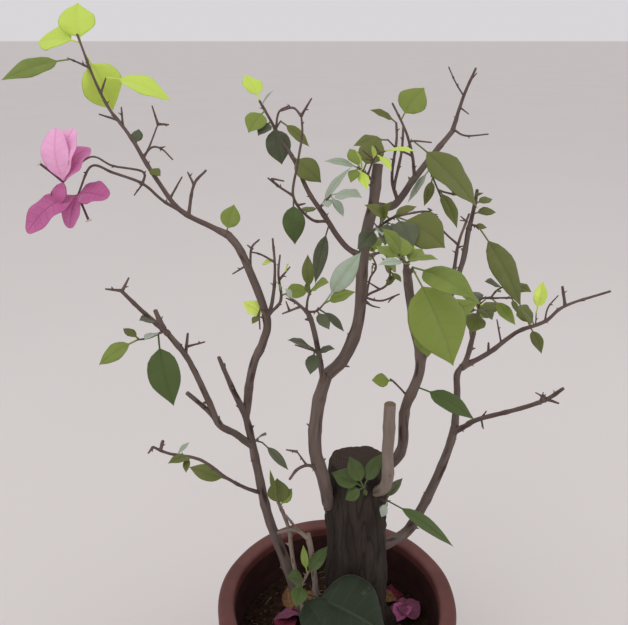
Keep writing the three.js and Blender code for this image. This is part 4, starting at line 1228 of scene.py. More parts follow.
@dataclass(frozen=True)
class Blade:
    """The form of a leaf or bract: a round stalk, then a blade with an egg-shaped outline.

    Attributes:
        stalk: Share of the length that is stalk.
        stalk_thick: The stalk's diameter.
        thick: Thickness of the blade.
        fold: How steeply the two halves rise from the midrib.
        arch: How high the midrib arches, as a share of the length.
        full: Exponent that puts the broadest place: less than 1 is nearer the root.
        round_base: Exponent of the outline at the root: small is blunt.
        point: The same at the tip.
        veins: Where the side veins leave the midrib, as shares of the blade.
        lean: How far forward a vein has run when it meets the margin.
        quilt: How the skin swells between veins, as a share of the half width.
        ruffle: How the margin waves, as a share of the half width.
        ripples: Waves along the margin.
        curl: How far the margins roll under.
        fine: The least length that gets veins.
    """

    stalk: float
    stalk_thick: float
    thick: float
    fold: float
    arch: float
    full: float
    round_base: float
    point: float
    veins: tuple[float, ...]
    lean: float
    quilt: float
    ruffle: float
    ripples: float
    curl: float
    fine: float

    VEIN = 0.006  # half a side vein's width, as a share of the blade
    VEIN_END = 0.9  # how near the margin it runs
    PLAIN_ROWS = (0, 0.1, 0.25, 0.42, 0.6, 0.76, 0.9, 0.98)
    STALK_ROWS = (0, 0.35, 0.7, 0.94)
    JOIN = 0.07  # share of the blade in which the stalk's section turns into its own

    # How far blades differ: tilt and twist in radians, sway as a share of the length, and the range of what
    # the fold, the ruffles and the curl are multiplied by
    TILT = 0.2
    TWIST = 0.35
    SWAY = 0.03
    LIVELY = (0.7, 1.3)

    BEND = 1.2  # exponent of a side vein's line
    FLATTER = 0.3  # how much less steep the fold is at the margin
    OUT_OF_STEP = 1.7  # half the phase between the two margins' waves
    GROOVE = (0.25, 40)  # depth of the groove over the midrib, and the length of the blade that has it
    THINNER = 0.7  # how much thinner the blade is at its tip
    KEEL = 0.4  # how far the midrib stands out below, in stalk diameters

    def rows(self, fine: bool) -> tuple[Array, Array, Array]:
        """Where the blade's rows lie, how much the skin swells there and which row starts a side vein."""
        if not fine:
            places = np.array(self.PLAIN_ROWS)
            return places, np.zeros(len(places)), np.zeros(len(places), bool)
        veins = np.array(self.veins)
        low, high = veins - self.VEIN, veins + self.VEIN
        middle = (np.append(0, high[:-1]) + low) / 2
        tip = np.array([(high[-1] + 1) / 2, 0.95, 0.99])
        places = np.concatenate([[0], np.stack([middle, low, high], axis=1).ravel(), tip])
        swell = np.concatenate([[0], np.tile([1, 0, 0], len(veins)), [0.6, 0.2, 0]])
        starts = np.concatenate([[False], np.tile([False, True, False], len(veins)), [False] * 3])
        return places, swell, starts

    def outline(self, share: Array) -> Array:
        """Half the breadth at a share of the blade: sin(pi share^full) to a power that grows tipwards."""
        power = self.round_base + (self.point - self.round_base) * share**2
        return np.maximum(np.sin(np.pi * share**self.full), 0.0) ** power

    def codes(self, columns: Columns, starts: Array, skins: tuple[int, int, int]) -> Array:
        """The finish of each quad.

        Args:
            columns: The section.
            starts: Whether a side vein starts at a row of the blade.
            skins: The finishes of its face, underside and veins.

        Returns:
            A finish for each quad, the stalk's first.
        """
        top, under, vein = skins
        x = columns.places()
        bottom = np.arange(x.size) >= len(columns.top)
        farther = np.maximum(np.abs(x), np.abs(np.roll(x, -1)))
        strip = np.where(bottom | np.roll(bottom, -1), under, top)
        strip = np.where((farther < RIB) & ~bottom, vein, strip)
        stalk = len(self.STALK_ROWS)
        veined = np.append(np.zeros(stalk, bool), starts[:-1])[:, None] & (farther < self.VEIN_END)
        finish = np.repeat(strip[None], len(veined), axis=0)
        finish[:stalk] = vein
        return np.where(veined, vein, finish)

    def build(
        self, skin: Skin, leaf: Leaf, face: Array, skins: tuple[int, int, int], dice: np.random.Generator
    ) -> None:
        """Adds one blade to a mesh.

        A point of the face is root + along T length + side x half cos(twist) + up (fold half |x| + arch
        length sin(pi T) + quilting + ruffles - curl + x half sin(twist)), and the underside lies its
        thickness below. T is skewed forward away from the midrib, so that the rows run along the veins.

        Args:
            skin: The mesh.
            leaf: Where it grows and how large it is.
            face: The side that it turns its face to.
            skins: The finishes of its face, underside and veins.
            dice: What its own shape is drawn from.
        """
        tilt, twist = dice.uniform(-self.TILT, self.TILT), dice.uniform(-self.TWIST, self.TWIST)
        sway, phase = dice.uniform(-self.SWAY, self.SWAY), dice.uniform(0, 2 * np.pi)
        folded, ruffled, curled = dice.uniform(*self.LIVELY, 3)
        along, length = leaf.along, leaf.length
        up = unit(face - along * (face @ along))
        side = np.cross(along, up)
        level, steep = math.cos(tilt), math.sin(tilt)
        up, side = up * level + side * steep, side * level - up * steep
        fine = length >= self.fine
        columns = FINE_COLUMNS if fine else PLAIN_COLUMNS
        x = columns.places()[None]
        off = np.abs(x)
        bottom = np.arange(x.size) >= len(columns.top)
        share, swell, starts = self.rows(fine)
        skewed = share[:, None] + self.lean * off**self.BEND * 4 * (share * (1 - share))[:, None]
        half = self.outline(skewed) * leaf.breadth * length * (1 - self.stalk) / 2
        lift = self.fold * folded * half * off * (1 - self.FLATTER * off)
        lift = lift + self.quilt * half * swell[:, None] * 4 * off * (1 - off)
        waves = np.sin(2 * np.pi * self.ripples * skewed + phase + self.OUT_OF_STEP * np.sign(x))
        lift = lift + self.ruffle * ruffled * half * x**2 * waves - self.curl * curled * half * x**4
        lift = lift - (x == 0) * self.GROOVE[0] * (length / self.GROOVE[1])
        lift = lift - bottom * self.thick * (1 - self.THINNER * skewed)
        lift = lift - bottom * (off < RIB) * self.stalk_thick * self.KEEL * (1 - skewed)
        turn = twist * skewed
        across = x * half * np.cos(turn) - lift * np.sin(turn)
        lift = lift * np.cos(turn) + x * half * np.sin(turn)
        around = self.stalk_thick / 2 * np.stack([np.cos(columns.circle()), np.sin(columns.circle())])
        joined = smooth(0, self.JOIN, share)[:, None]
        stem = self.stalk * np.array(self.STALK_ROWS)[:, None] + 0 * x
        across = np.vstack([around[0] + 0 * stem, joined * across + (1 - joined) * around[0]])
        lift = np.vstack([around[1] + 0 * stem, joined * lift + (1 - joined) * around[1]])
        place = np.vstack([stem, self.stalk + (1 - self.stalk) * skewed])
        across = across + sway * length * np.sin(np.pi * place)
        lift = lift + self.arch * length * np.sin(np.pi * place)
        path = leaf.root + (place * length)[..., None] * along
        rings = path + across[..., None] * side + lift[..., None] * up
        tip = leaf.root + along * length + up * 0.01
        skin.loft(rings, self.codes(columns, starts, skins), poles=(leaf.root, tip))


LEAF = Blade(
    stalk=0.2, stalk_thick=1.3, thick=0.45, fold=0.2, arch=0.08, full=0.78, round_base=0.72, point=1.25,
    veins=(0.13, 0.3, 0.47, 0.64, 0.8), lean=0.15, quilt=0.035, ruffle=0.07, ripples=2.2, curl=0.12,
    fine=24,
)
BRACT = Blade(
    stalk=0.04, stalk_thick=1.6, thick=0.32, fold=0.12, arch=0.16, full=1.05, round_base=0.65, point=0.42,
    veins=(0.12, 0.26, 0.4, 0.54, 0.68, 0.82), lean=0.12, quilt=0.04, ruffle=0.11, ripples=2.2, curl=0.02,
    fine=20,
)

# The spare growth that the seeded rule adds to a mass, as the solids have it
SPARE_LEAF = (14.0, 26.0)
SPARE_TWIG = (7.0, 14.0)
SPARE_THICK = (1.6, 0.9)
SPARE_BREADTH = 0.6
SPARE_ALONG = (0.3, 0.95)
SPARE_RISE = (-30.0, 60.0)
SPARE_REACH = 4.0
SPARE_AWAY = 9.0
TRUNK_AWAY = 40.0

# The finer growth that only this script adds, by the same rule
FINER = 2
FINER_LEAF = (7.0, 13.0)
FINER_TWIG = (4.0, 8.0)

# Parts of the crown, by the first bough of each
REGIONS = {
    "left_stem": "left",
    "middle_stem": "middle",
    "right_centre_stem": "centre",
    "right_stem": "right",
}


def seeded(seed: int) -> Iterator[float]:
    """Yields the solids' random numbers: each state is 16807 times the last, less whole 2147483647s."""
    state = seed
    while True:
        state = state * 16807 % 2147483647
        yield state / 2147483647


@dataclass
class Mass:
    """What grows on one stem: its twigs with their diameters, its leaves, bracts and flower tubes."""

    spec: Shoot
    twigs: list[tuple[Curve, tuple[float, float]]]
    leaves: list[Leaf] = field(default_factory=list)
    bracts: list[Leaf] = field(default_factory=list)
    tubes: list[Curve] = field(default_factory=list)
    spare_twigs: list[Curve] = field(default_factory=list)


@dataclass
class Growth:
    """Grows the plant's limbs and masses by the solids' rule.

    Attributes:
        stump_foot: The middle of the stump at the soil.
        stump_lean: How far its top lies right and back of its foot.
        stump_height: Its height over the soil.
        axes: The axis of each limb and of each mass's own stem, as they grow.
        masses: The masses, as they grow.
    """

    stump_foot: tuple[float, float] = (17.0, 4.0)
    stump_lean: tuple[float, float] = (1.0, -4.0)
    stump_height: float = 201.0
    axes: dict[str, Curve] = field(default_factory=dict)
    masses: dict[str, Mass] = field(default_factory=dict)

    def __post_init__(self) -> None:
        """Grows the trunk's axis, then every bough, then every mass, in the tables' order."""
        foot = np.array([*self.stump_foot, 0.0])
        self.axes["trunk"] = Curve(np.stack([foot, foot + [*self.stump_lean, self.stump_height]]))
        for name, spec in BOUGHS.items():
            self.axes[name] = Curve.grown(self.start(spec), spec.runs)
        for index, (name, spec) in enumerate(MASSES.items()):
            mass = self.grow(spec, SEED_FIRST + SEED_STEP * index)
            self.masses[name] = mass
            self.axes[name] = mass.twigs[0][0]

    def start(self, spec: Shoot) -> Array:
        """Where a stem starts: a little below the soil, or on its parent's axis."""
        if spec.foot is not None:
            return np.array([*spec.foot, -BURIED])
        return self.axes[spec.on].at(spec.at)

    def twigs_of(self, spec: Shoot, start: Array) -> list[tuple[Curve, Shoot]]:
        """A stem and every twig on it, the stem first."""
        curve = Curve.grown(start, spec.runs)
        found = [(curve, spec)]
        for side_twig in spec.twigs:
            found += self.twigs_of(side_twig, curve.at(side_twig.at))
        return found

    def clear_of_limbs(self, point: Array, on: str | None) -> bool:
        """Whether a point is a short way clear of every limb but the one that its mass grows on."""
        for name, axis in self.axes.items():
            reach = TRUNK_AWAY if name == "trunk" else SPARE_AWAY
            places = axis.at(np.linspace(0, 1, LOOKS + 1))
            if name != on and np.linalg.norm(places - point, axis=1).min() <= reach:
                return False
        return True

    def grow(self, spec: Shoot, seed: int) -> Mass:
        """Grows one mass.

        Args:
            spec: Its stem and what grows on it.
            seed: What fixes its spare growth.

        Returns:
            The mass, whose spare leaves take the tones of its own leaves in turn.
        """
        stems = self.twigs_of(spec, self.start(spec))
        tips = [curve.points for curve, _ in stems]
        mass = Mass(spec, [(curve, stem.thick) for curve, stem in stems])
        for curve, stem in stems:
            for at, heading, rise, length, breadth, tone in stem.leaves:
                leaf = Leaf(curve.at(at), towards(heading, rise), length, breadth, tone)
                mass.leaves.append(leaf)
                tips.append((leaf.root + leaf.along * length)[None])
            for at, heading, rise, length, breadth in stem.bracts:
                mass.bracts.append(Leaf(curve.at(at), towards(heading, rise), length, breadth))
            for at, heading, rise, length in stem.tubes:
                mass.tubes.append(Curve.grown(curve.at(at), [(length, heading, rise)]))
        places = np.vstack(tips)
        room = (places.min(axis=0) - SPARE_REACH, places.max(axis=0) + SPARE_REACH)
        draws = seeded(seed)
        self.add_spare(mass, spec.spare, room, draws, (SPARE_LEAF, SPARE_TWIG))
        self.add_spare(mass, FINER * spec.spare, room, draws, (FINER_LEAF, FINER_TWIG))
        return mass

    def add_spare(
        self,
        mass: Mass,
        count: int,
        room: tuple[Array, Array],
        draws: Iterator[float],
        lengths: tuple[tuple[float, float], tuple[float, float]],
    ) -> None:
        """Adds spare leaves and twigs at seeded places, but none that leaves the room or nears a limb.

        Args:
            mass: What they grow on.
            count: How many are tried.
            room: The lowest and the highest corner of the room that their tips may lie in.
            draws: The seeded numbers.
            lengths: The range of a leaf's length and of a twig's.
        """

        def between(low: float, high: float) -> float:
            """The next seeded number, spread over a range."""
            return low + (high - low) * next(draws)

        tones = [leaf.tone for leaf in mass.leaves]
        for index in range(count):
            curve = mass.twigs[int(next(draws) * len(mass.twigs))][0]
            root = curve.at(between(*SPARE_ALONG))
            along = towards(between(0, 360), between(*SPARE_RISE))
            leafy = mass.spec.leafy and index % 2 == 0
            length = between(*lengths[0 if leafy else 1])
            tip = root + along * length
            inside = (tip >= room[0]).all() and (tip <= room[1]).all()
            if not inside or not self.clear_of_limbs(tip, mass.spec.on):
                continue
            if leafy:
                mass.leaves.append(Leaf(root, along, length, SPARE_BREADTH, tones[index % len(tones)]))
            else:
                mass.spare_twigs.append(Curve(np.stack([root, tip])))

    def region(self, name: str) -> str:
        """Which part of the crown a mass belongs to, from the bough that it goes back to."""
        tables = {**BOUGHS, **MASSES}
        while tables[name].on in tables:
            name = tables[name].on
        return REGIONS.get(name, "foot")


@dataclass
class Spurs:
    """Buds and thorns at the nodes of a limb: short tapering lofts, a node every few centimetres.

    Attributes:
        gap: Millimetres from node to node.
        length: The shortest and the longest spur.
        thick: Its diameter at the foot and at the tip.
    """

    gap: float
    length: tuple[float, float]
    thick: tuple[float, float]

    TURN = 137.5  # degrees from one spur round to the next
    PLACES = 60  # places along the limb where one can stand
    WANDER = (0.3, 0.7)  # where in its own gap a node lies
    FORWARD = 0.5  # how far a spur leans to the limb's tip
    SUNK = 0.35  # how far out of the limb's axis it starts, in limb diameters
    LONGER = 0.2  # how much longer it is on a thick limb, in limb diameters

    def nodes(self, curve: Curve, seed: int) -> Array:
        """The shares of a curve where its nodes are."""
        _, along = curve.even(self.gap)
        dice = np.random.default_rng(seed)
        count = max(1, round(along[-1] / self.gap))
        return (np.arange(count) + dice.uniform(*self.WANDER, count)) / count

    def build(self, skin: Skin, limb: Limb) -> None:
        """Adds a spur at each of the limb's nodes, each turned on round the limb from the last."""
        dice = np.random.default_rng(limb.seed + 7)
        centres, tangents, first, second = side_frames(limb.curve.at(np.linspace(0, 1, self.PLACES)))
        for count, share in enumerate(limb.nodes):
            row = round(share * (self.PLACES - 1))
            angle = math.radians(self.TURN * count + limb.seed)
            out = math.cos(angle) * first[row] + math.sin(angle) * second[row]
            away = unit(out + self.FORWARD * tangents[row])
            thick = limb.thick[0] + (limb.thick[1] - limb.thick[0]) * share
            start = centres[row] + out * thick * self.SUNK
            tip = start + away * (dice.uniform(*self.length) + thick * self.LONGER)
            axis = Curve(np.stack([start, tip]))
            Limb(axis, self.thick, limb.finish, 5, 1.5, limb.seed + count, 0.02, 0.5).build(skin)


@dataclass
class Stump:
    """The sawn-off stump: rings of its own radius round a leaning axis, ribbed, plated and knobbly.

    Attributes:
        rings: Height and radius from its flared foot to its sawn top.
        ribs: Each set's count round it, depth over the radius, and the height in which it turns.
        roots: How many roots flare out, how deep, and up to what height.
        sides: Points round it.
        pitch: Millimetres from ring to ring.
        burls: How many low burls it has.
    """

    rings: tuple[tuple[float, float], ...] = (
        (0, 40), (10, 35), (26, 31), (60, 29), (105, 27.5), (150, 27), (182, 28.5), (195, 28), (201, 25.5),
    )
    ribs: tuple[tuple[int, float, float], ...] = ((3, 0.05, 31), (5, 0.035, -19), (9, 0.02, 60))
    roots: tuple[int, float, float] = (4, 0.12, 26)
    sides: int = 200
    pitch: float = 1.1
    burls: int = 16

    # How the top closes: radius as a share of the last ring's, then height over it
    TOP = ((0.97, 0.5), (0.93, 0.8), (0.84, 0.7), (0.68, 0.4), (0.5, 0.2), (0.3, 0.5), (0.12, 0.6))
    # Its unevenness: (height, millimetres from crest to crest, seed, how far squeezed to run lengthwise)
    LUMPS = ((0.9, 20, 5, 0.5), (0.25, 4.5, 6, 0.35))
    PLATES = Lumps(7, 8, 14)  # where this passes through nought a crack runs
    PLATES_SQUEEZE = (1, 1, 0.12)
    CRACK = (0.6, 0.35)  # how dark a crack's painted shade is, and its half width as a height of the plates' unevenness
    CRACK_DEPTH = 0.9
    BURL_HEIGHTS = (20, 190)
    BURL_WIDTHS = (4, 8)
    BURL_RISE = 0.3  # how far a burl stands out, as a share of its width
    SAWN_SHOWS = 0.25  # how much of all this is left on the sawn top
    SAWN_ROUGH = 0.35  # how rough that is
    # Old snags on it: (angle, height, heading, rise, length, diameters)
    SNAGS = (
        (-30, 197, -30, 75, 9, (5.0, 3.6)),
        (150, 138, 160, 30, 6, (6.0, 4.5)),
        (60, 176, 60, 45, 7, (5.5, 4.0)),
        (-110, 90, -110, 20, 4, (6.5, 5.0)),
    )
    SNAG_SUNK = 5.0  # how far inside the bark a snag starts

    def build(self, growth: Growth) -> None:
        """Makes the stump.

        The reach of a point is radius (1 + ribs + roots) + lumps + burls - cracks: a rib set is depth
        sin(count angle + height / turn), the roots fade out upwards, and the cracks lie where a lengthwise
        unevenness passes through nought.
        """
        skin = Skin(BARKS)
        heights, radii = np.array(self.rings, float).T
        up = np.linspace(0, heights[-1], round(heights[-1] / self.pitch) + 1)
        radius = np.interp(up, heights, radii)
        shrink, raised = np.array(self.TOP).T
        on_top = np.append(np.zeros(len(up)), np.ones(len(self.TOP)))[:, None]
        up = np.append(up, up[-1] + raised)
        radius = np.append(radius, radius[-1] * shrink)
        angle, ring = circle(self.sides)
        ribs = sum(
            deep * np.sin(count * angle[None] + up[:, None] / turn) for count, deep, turn in self.ribs
        )
        count, deep, height = self.roots
        roots = np.maximum(0, 1 - up / height)[:, None] * deep * np.sin(count * angle[None])
        straight = turned(radius, up, ring)
        lumps = sum(
            high * Lumps(size, seed)(straight * (1, 1, squeeze)) for high, size, seed, squeeze in self.LUMPS
        )
        # The cracks are cut into the mesh and darkened with painted shade
        dark, wide = self.CRACK
        cracks = dark * (1 - smooth(0.0, wide, np.abs(self.PLATES(straight * self.PLATES_SQUEEZE))))
        bumps = lumps + self.burl_relief(angle, up, radius) - self.CRACK_DEPTH * cracks
        shown = 1 - (1 - self.SAWN_SHOWS) * on_top
        reach = radius[:, None] * (1 + ribs + roots) + shown * bumps
        middles = growth.stump_foot + (up / growth.stump_height)[:, None] * growth.stump_lean
        sideways = middles[:, None] + reach[..., None] * ring
        points = np.dstack([sideways, up[:, None] + self.SAWN_ROUGH * on_top * Lumps(5, 9)(straight)])
        codes = np.full((len(points) - 1, self.sides), int(Wood.STUMP))
        codes[-len(self.TOP) + 1 :] = Wood.SAWN_OLD
        skin.loft(points, codes, end_finish=Wood.SAWN_OLD, straight=straight, crack_shade=cracks * shown)
        self.snags(skin, growth)
        skin.piece("stump_bark", "old_bark", ["trunk"], PLANT_LIFT)

    def burl_relief(self, angle: Array, up: Array, radius: Array) -> Array:
        """How far the burls stand out: each is rise x width x exp(-(distance / width)^2)."""
        dice = np.random.default_rng(12)
        turns = dice.uniform(0, 2 * np.pi, self.burls)
        highs = dice.uniform(*self.BURL_HEIGHTS, self.burls)
        wides = dice.uniform(*self.BURL_WIDTHS, self.burls)
        relief = np.zeros((len(up), len(angle)))
        for turn, high, wide in zip(turns, highs, wides):
            around = np.angle(np.exp(1j * (angle - turn)))[None] * radius[:, None]
            relief += self.BURL_RISE * wide * np.exp(-(around**2 + (up[:, None] - high) ** 2) / wide**2)
        return relief

    def snags(self, skin: Skin, growth: Growth) -> None:
        """Adds the old snags that stand out of the stump."""
        for turn, high, heading, rise, length, thick in self.SNAGS:
            radius = np.interp(high, *np.array(self.rings, float).T) - self.SNAG_SUNK
            start = growth.axes["trunk"].at(high / growth.stump_height) + radius * towards(turn, 0)
            runs = [(self.SNAG_SUNK + length * 0.5, heading, rise), (length * 0.5, heading, rise)]
            axis = Curve.grown(start, runs)
            Limb(axis, thick, Wood.STUMP, 12, 1.2, turn + 200, 0.08, 0.4, sawn=True).build(skin)


@dataclass
class Boughs:
    """The stems and boughs, each a piece of its own.

    Attributes:
        sides: Points round each.
        pitch: Millimetres from ring to ring.
        sawn: The ones whose tips are flat cuts.
        pale: The ones with light corky bark.
    """

    sides: int = 20
    pitch: float = 1.8
    sawn: tuple[str, ...] = ("cut_stub", "foot_peg", "far_left_stub", "middle_crown")
    pale: tuple[str, ...] = ("cut_stub", "foot_peg", "foot_shoot")

    # How much thicker each is at its foot, and the ones that differ
    COLLAR = 0.3
    COLLARS = {"arching_stem": -0.25, "far_left_stem": -0.1, "middle_crown": 0.05, "right_crown": 0.05}

    def build(self, growth: Growth) -> None:
        """Makes each bough with a swelling and a bud at every node."""
        spurs = Spurs(gap=38.0, length=(1.2, 3.0), thick=(2.2, 1.0))
        for index, (name, spec) in enumerate(BOUGHS.items()):
            skin = Skin(BARKS)
            limb = Limb(
                growth.axes[name],
                spec.thick,
                Wood.FOOT if name in self.pale else Wood.STEM,
                self.sides,
                self.pitch,
                seed=31 * index + 3,
                relief=0.045,
                collar=self.COLLARS.get(name, self.COLLAR),
                nodes=spurs.nodes(growth.axes[name], index),
                swell=0.1,
                sawn=name in self.sawn,
            )
            limb.build(skin)
            spurs.build(skin, limb)
            skin.piece(f"{name}_bark", "stem_bark", [name], PLANT_LIFT)


@dataclass
class Crown:
    """The masses' twigs and leaves, joined by kind and by part of the crown.

    Attributes:
        sides: Points round a twig.
        pitch: Millimetres from ring to ring.
    """

    sides: int = 8
    pitch: float = 2.0

    def build(self, growth: Growth) -> None:
        """Makes one piece of twigs and one of leaves for each part of the crown."""
        parts: dict[str, list[str]] = {}
        for name in MASSES:
            parts.setdefault(growth.region(name), []).append(name)
        for part, names in parts.items():
            self.twigs(growth, part, names)
            self.leaves(growth, part, [name for name in names if growth.masses[name].leaves])

    def twigs(self, growth: Growth, part: str, names: Sequence[str]) -> None:
        """Makes the twigs of one part, with thorns at their nodes."""
        skin = Skin(BARKS)
        spurs = Spurs(gap=26.0, length=(1.2, 2.8), thick=(1.0, 0.35))
        seed = 1000
        for name in names:
            mass = growth.masses[name]
            wood = Wood.FOOT if name.startswith("foot") else Wood.TWIG
            for curve, thick in mass.twigs:
                seed += 5
                nodes = spurs.nodes(curve, seed)
                limb = Limb(curve, thick, wood, self.sides, self.pitch, seed, nodes=nodes)
                limb.build(skin)
                spurs.build(skin, limb)
            for curve in mass.spare_twigs:
                seed += 5
                Limb(curve, SPARE_THICK, wood, 6, self.pitch, seed, 0.04).build(skin)
        skin.piece(f"{part}_twigs", "stem_bark", names, PLANT_LIFT)

    def leaves(self, growth: Growth, part: str, names: Sequence[str]) -> None:
        """Makes the leaves of one part, the top of each in one of its tone's two shades."""
        skin = Skin(LEAF_SKINS)
        tones = list(Tone)
        for name in names:
            dice = np.random.default_rng(list(MASSES).index(name))
            for leaf in growth.masses[name].leaves:
                base = SKINS_OF_A_TONE * tones.index(leaf.tone)
                LEAF.build(skin, leaf, LIGHT, (base + int(dice.integers(2)), base + 2, base + 3), dice)
        skin.piece(f"{part}_foliage", "foliage", names, PLANT_LIFT)


@dataclass
class Blossom:
    """The spray's bracts and its flower tubes, each with a small pale star at its mouth.

    Attributes:
        shades: The shade of each bract, in the order that they grow.
        reach: Radius of a star.
        cut: How deeply its five lobes are cut, as a share of that.
        sides: Points round it.
    """

    shades: tuple[BractShade, ...] = (DEEP, PINK, DEEP, PALE, PALE, PINK, DEEP)
    reach: float = 2.2
    cut: float = 0.35
    sides: int = 20

    ROWS = 14
    WAIST = 0.25  # how much slimmer a tube is in the middle
    # The star's three rings: (millimetres past the mouth, radius and lobes as shares of its own)
    STAR = ((0.5, 0.8, 0.6), (0.9, 1.0, 1.0), (0.8, 0.3, 0.0))

    def build(self, growth: Growth) -> None:
        """Makes the bracts as one piece and the tubes as another."""
        mass = growth.masses["flower_spray"]
        bracts = Skin(BRACT_SKINS)
        dice = np.random.default_rng(77)
        for leaf, shade in zip(mass.bracts, self.shades):
            BRACT.build(bracts, leaf, LIGHT, shade.codes(), dice)
        bracts.piece("flower_bracts", "bract", ["flower_spray"], PLANT_LIFT)
        tubes = Skin(TUBE_SKINS)
        for index, curve in enumerate(mass.tubes):
            self.tube(tubes, curve, index)
        tubes.piece("flower_tubes", "bract", ["flower_spray"], PLANT_LIFT)

    def tube(self, skin: Skin, curve: Curve, index: int) -> None:
        """One tube: slim in the middle, and round its mouth a star whose radius goes with cos(5 angle)."""
        share = np.linspace(0, 1, self.ROWS)
        past, wide, lobed = np.array(self.STAR).T
        centres, _, first, second = side_frames(curve.at(share), past)
        thick = TUBE_THICK[0] * (1 - share) + TUBE_THICK[1] * share
        radius = np.append(thick / 2 * (1 - self.WAIST * np.sin(np.pi * share)), self.reach * wide)
        lobes = np.append(np.zeros(len(share)), self.cut * lobed)
        angle, ring = circle(self.sides)
        out = radius[:, None] * (1 + lobes[:, None] * np.cos(5 * angle[None] + index))
        codes = np.zeros((len(centres) - 1, self.sides), int)
        codes[-len(self.STAR) :] = 1
        skin.loft(carried(centres, first, second, out, ring), codes, end_finish=1)


def rounded(profile: Sequence[tuple[float, float, float]], longest: float = 7.0, steps: int = 6) -> Array:
    """A profile with its corners rounded and its straight stretches divided.

    A corner c becomes (1 - u)^2 a + 2 u (1 - u) c + u^2 b, with a and b on its two sides, as far from it as
    its radius says.

    Args:
        profile: Radius, height and rounding of each corner, in millimetres.
        longest: The longest step along a straight stretch.
        steps: Steps round a corner.

    Returns:
        Points of shape (rows, 2).
    """
    corners = np.array(profile, float)
    points = corners[:, :2]
    u = np.linspace(0, 1, steps + 1)[:, None]
    found = [points[:1]]
    for before, corner, after, turn in zip(points, points[1:], points[2:], corners[1:, 2]):
        start = corner + unit(before - corner) * turn
        end = corner + unit(after - corner) * turn
        found.append((1 - u) ** 2 * start + 2 * u * (1 - u) * corner + u**2 * end)
    rough = np.vstack([*found, points[-1:]])
    along = np.append(0, np.cumsum(np.linalg.norm(np.diff(rough, axis=0), axis=1)))
    extra = [np.linspace(a, b, int((b - a) // longest) + 2)[:-1] for a, b in zip(along, along[1:])]
    places = np.append(np.concatenate(extra), along[-1])
    return np.stack([np.interp(places, along, column) for column in rough.T], axis=-1)


@dataclass
class Pot:
    """The pot: a flat underside, a tapering wall and a deep band under a broad rounded lip.

    Attributes:
        height: From the underside to the rim.
        foot: Radius of the underside.
        rim: Radius of the band.
        lip: Radius of the lip's inner edge.
        neck: The wall's inner radius just under the band.
        band: Depth of the band.
        wall: Thickness of the wall.
        floor: Thickness of the floor.
        step: How far over the band's lower edge its inside starts, and how far below it the neck does.
        sides: Points round it.
    """

    height: float = 190.0
    foot: float = 78.0
    rim: float = 115.0
    lip: float = 99.0
    neck: float = 101.0
    band: float = 32.0
    wall: float = 4.0
    floor: float = 8.0
    step: float = 7.0
    sides: int = 160

    # Injection-moulded polypropylene, worn matte: dull brownish red, chalky where it has weathered
    SKIN = Finish("polypropylene_moulded_worn", "#5d332e", "#6d3f39", 0.55, 26.0, 0.7, 0.06, 0.4)
    # The same plastic inside, darkened to a dull dark brown to paint the shade inside the pot
    PAINTED_SHADE_INSIDE = Finish("polypropylene_painted_shade", "#341b19", "#3f231f", 0.75, 14.0, 0.7, 0.08, 0.3)
    PAINTED_SHADE_TOP = 13.0  # how far below the rim the painted shade starts
    UNEVEN = (0.35, 0.4)  # how far the wall swells and sinks, and how far it is drawn in
    EVEN = (20, 60)  # radii up to which the underside is even, and from which the wall is uneven

    def inner(self, height: float | Array) -> float | Array:
        """The inner radius of the wall at a height."""
        share = (height - self.floor) / (self.height - self.band - self.floor)
        return self.foot - self.wall + (self.neck - self.foot + self.wall) * share

    def build(self) -> None:
        """Makes the pot: its rounded profile turned about the axis, a fraction of a millimetre uneven."""
        under = self.height - self.band
        profile = rounded(
            [
                (1, 0, 0),
                (self.foot, 0, 3),
                (self.inner(under) + self.wall, under, 1.2),
                (self.rim, under, 2),
                (self.rim, self.height, 4.5),
                (self.lip, self.height, 4.5),
                (self.lip, under + self.step, 2),
                (self.inner(under - self.step), under - self.step, 3),
                (self.foot - self.wall, self.floor, 5),
                (1, self.floor, 0),
            ]
        )
        skin = Skin([self.SKIN, self.PAINTED_SHADE_INSIDE])
        _, ring = circle(self.sides)
        radius, height = profile.T
        rings = turned(radius, height, ring)
        swell, drawn_in = self.UNEVEN
        uneven = (swell * Lumps(70, 21)(rings) - drawn_in) * smooth(*self.EVEN, radius)[:, None]
        rings[..., :2] += uneven[..., None] * ring[None]
        past_rim = np.arange(len(height) - 1) > height.argmax()
        # Inside, from a little below the rim, the darker finish paints the shade in the pot
        inside_shade = past_rim & (height[1:] < self.height - self.PAINTED_SHADE_TOP)
        skin.loft(rings, np.repeat(inside_shade[:, None].astype(int), self.sides, axis=1))
        skin.piece("moulded_pot", "pot_plastic", ["pot"])


def pebble() -> tuple[Array, Array]:
    """An icosahedron: two rings of five points and two poles, and its 20 triangles turned outwards."""
    high = 1 / math.sqrt(5)
    wide = math.sqrt(1 - high * high)
    turn = 2 * np.pi * np.arange(5) / 5
    rings = [
        np.stack([wide * np.cos(around), wide * np.sin(around), np.full(5, level)], axis=-1)
        for around, level in ((turn, -high), (turn + np.pi / 5, high))
    ]
    corners = np.vstack([*rings, [[0, 0, -1]], [[0, 0, 1]]])
    a, b = np.arange(5), (np.arange(5) + 1) % 5
    faces = [(a, b, a + 5), (b, b + 5, a + 5), (b, a, np.full(5, 10)), (a + 5, b + 5, np.full(5, 11))]
    return corners, np.vstack([np.stack(sides, axis=-1) for sides in faces])


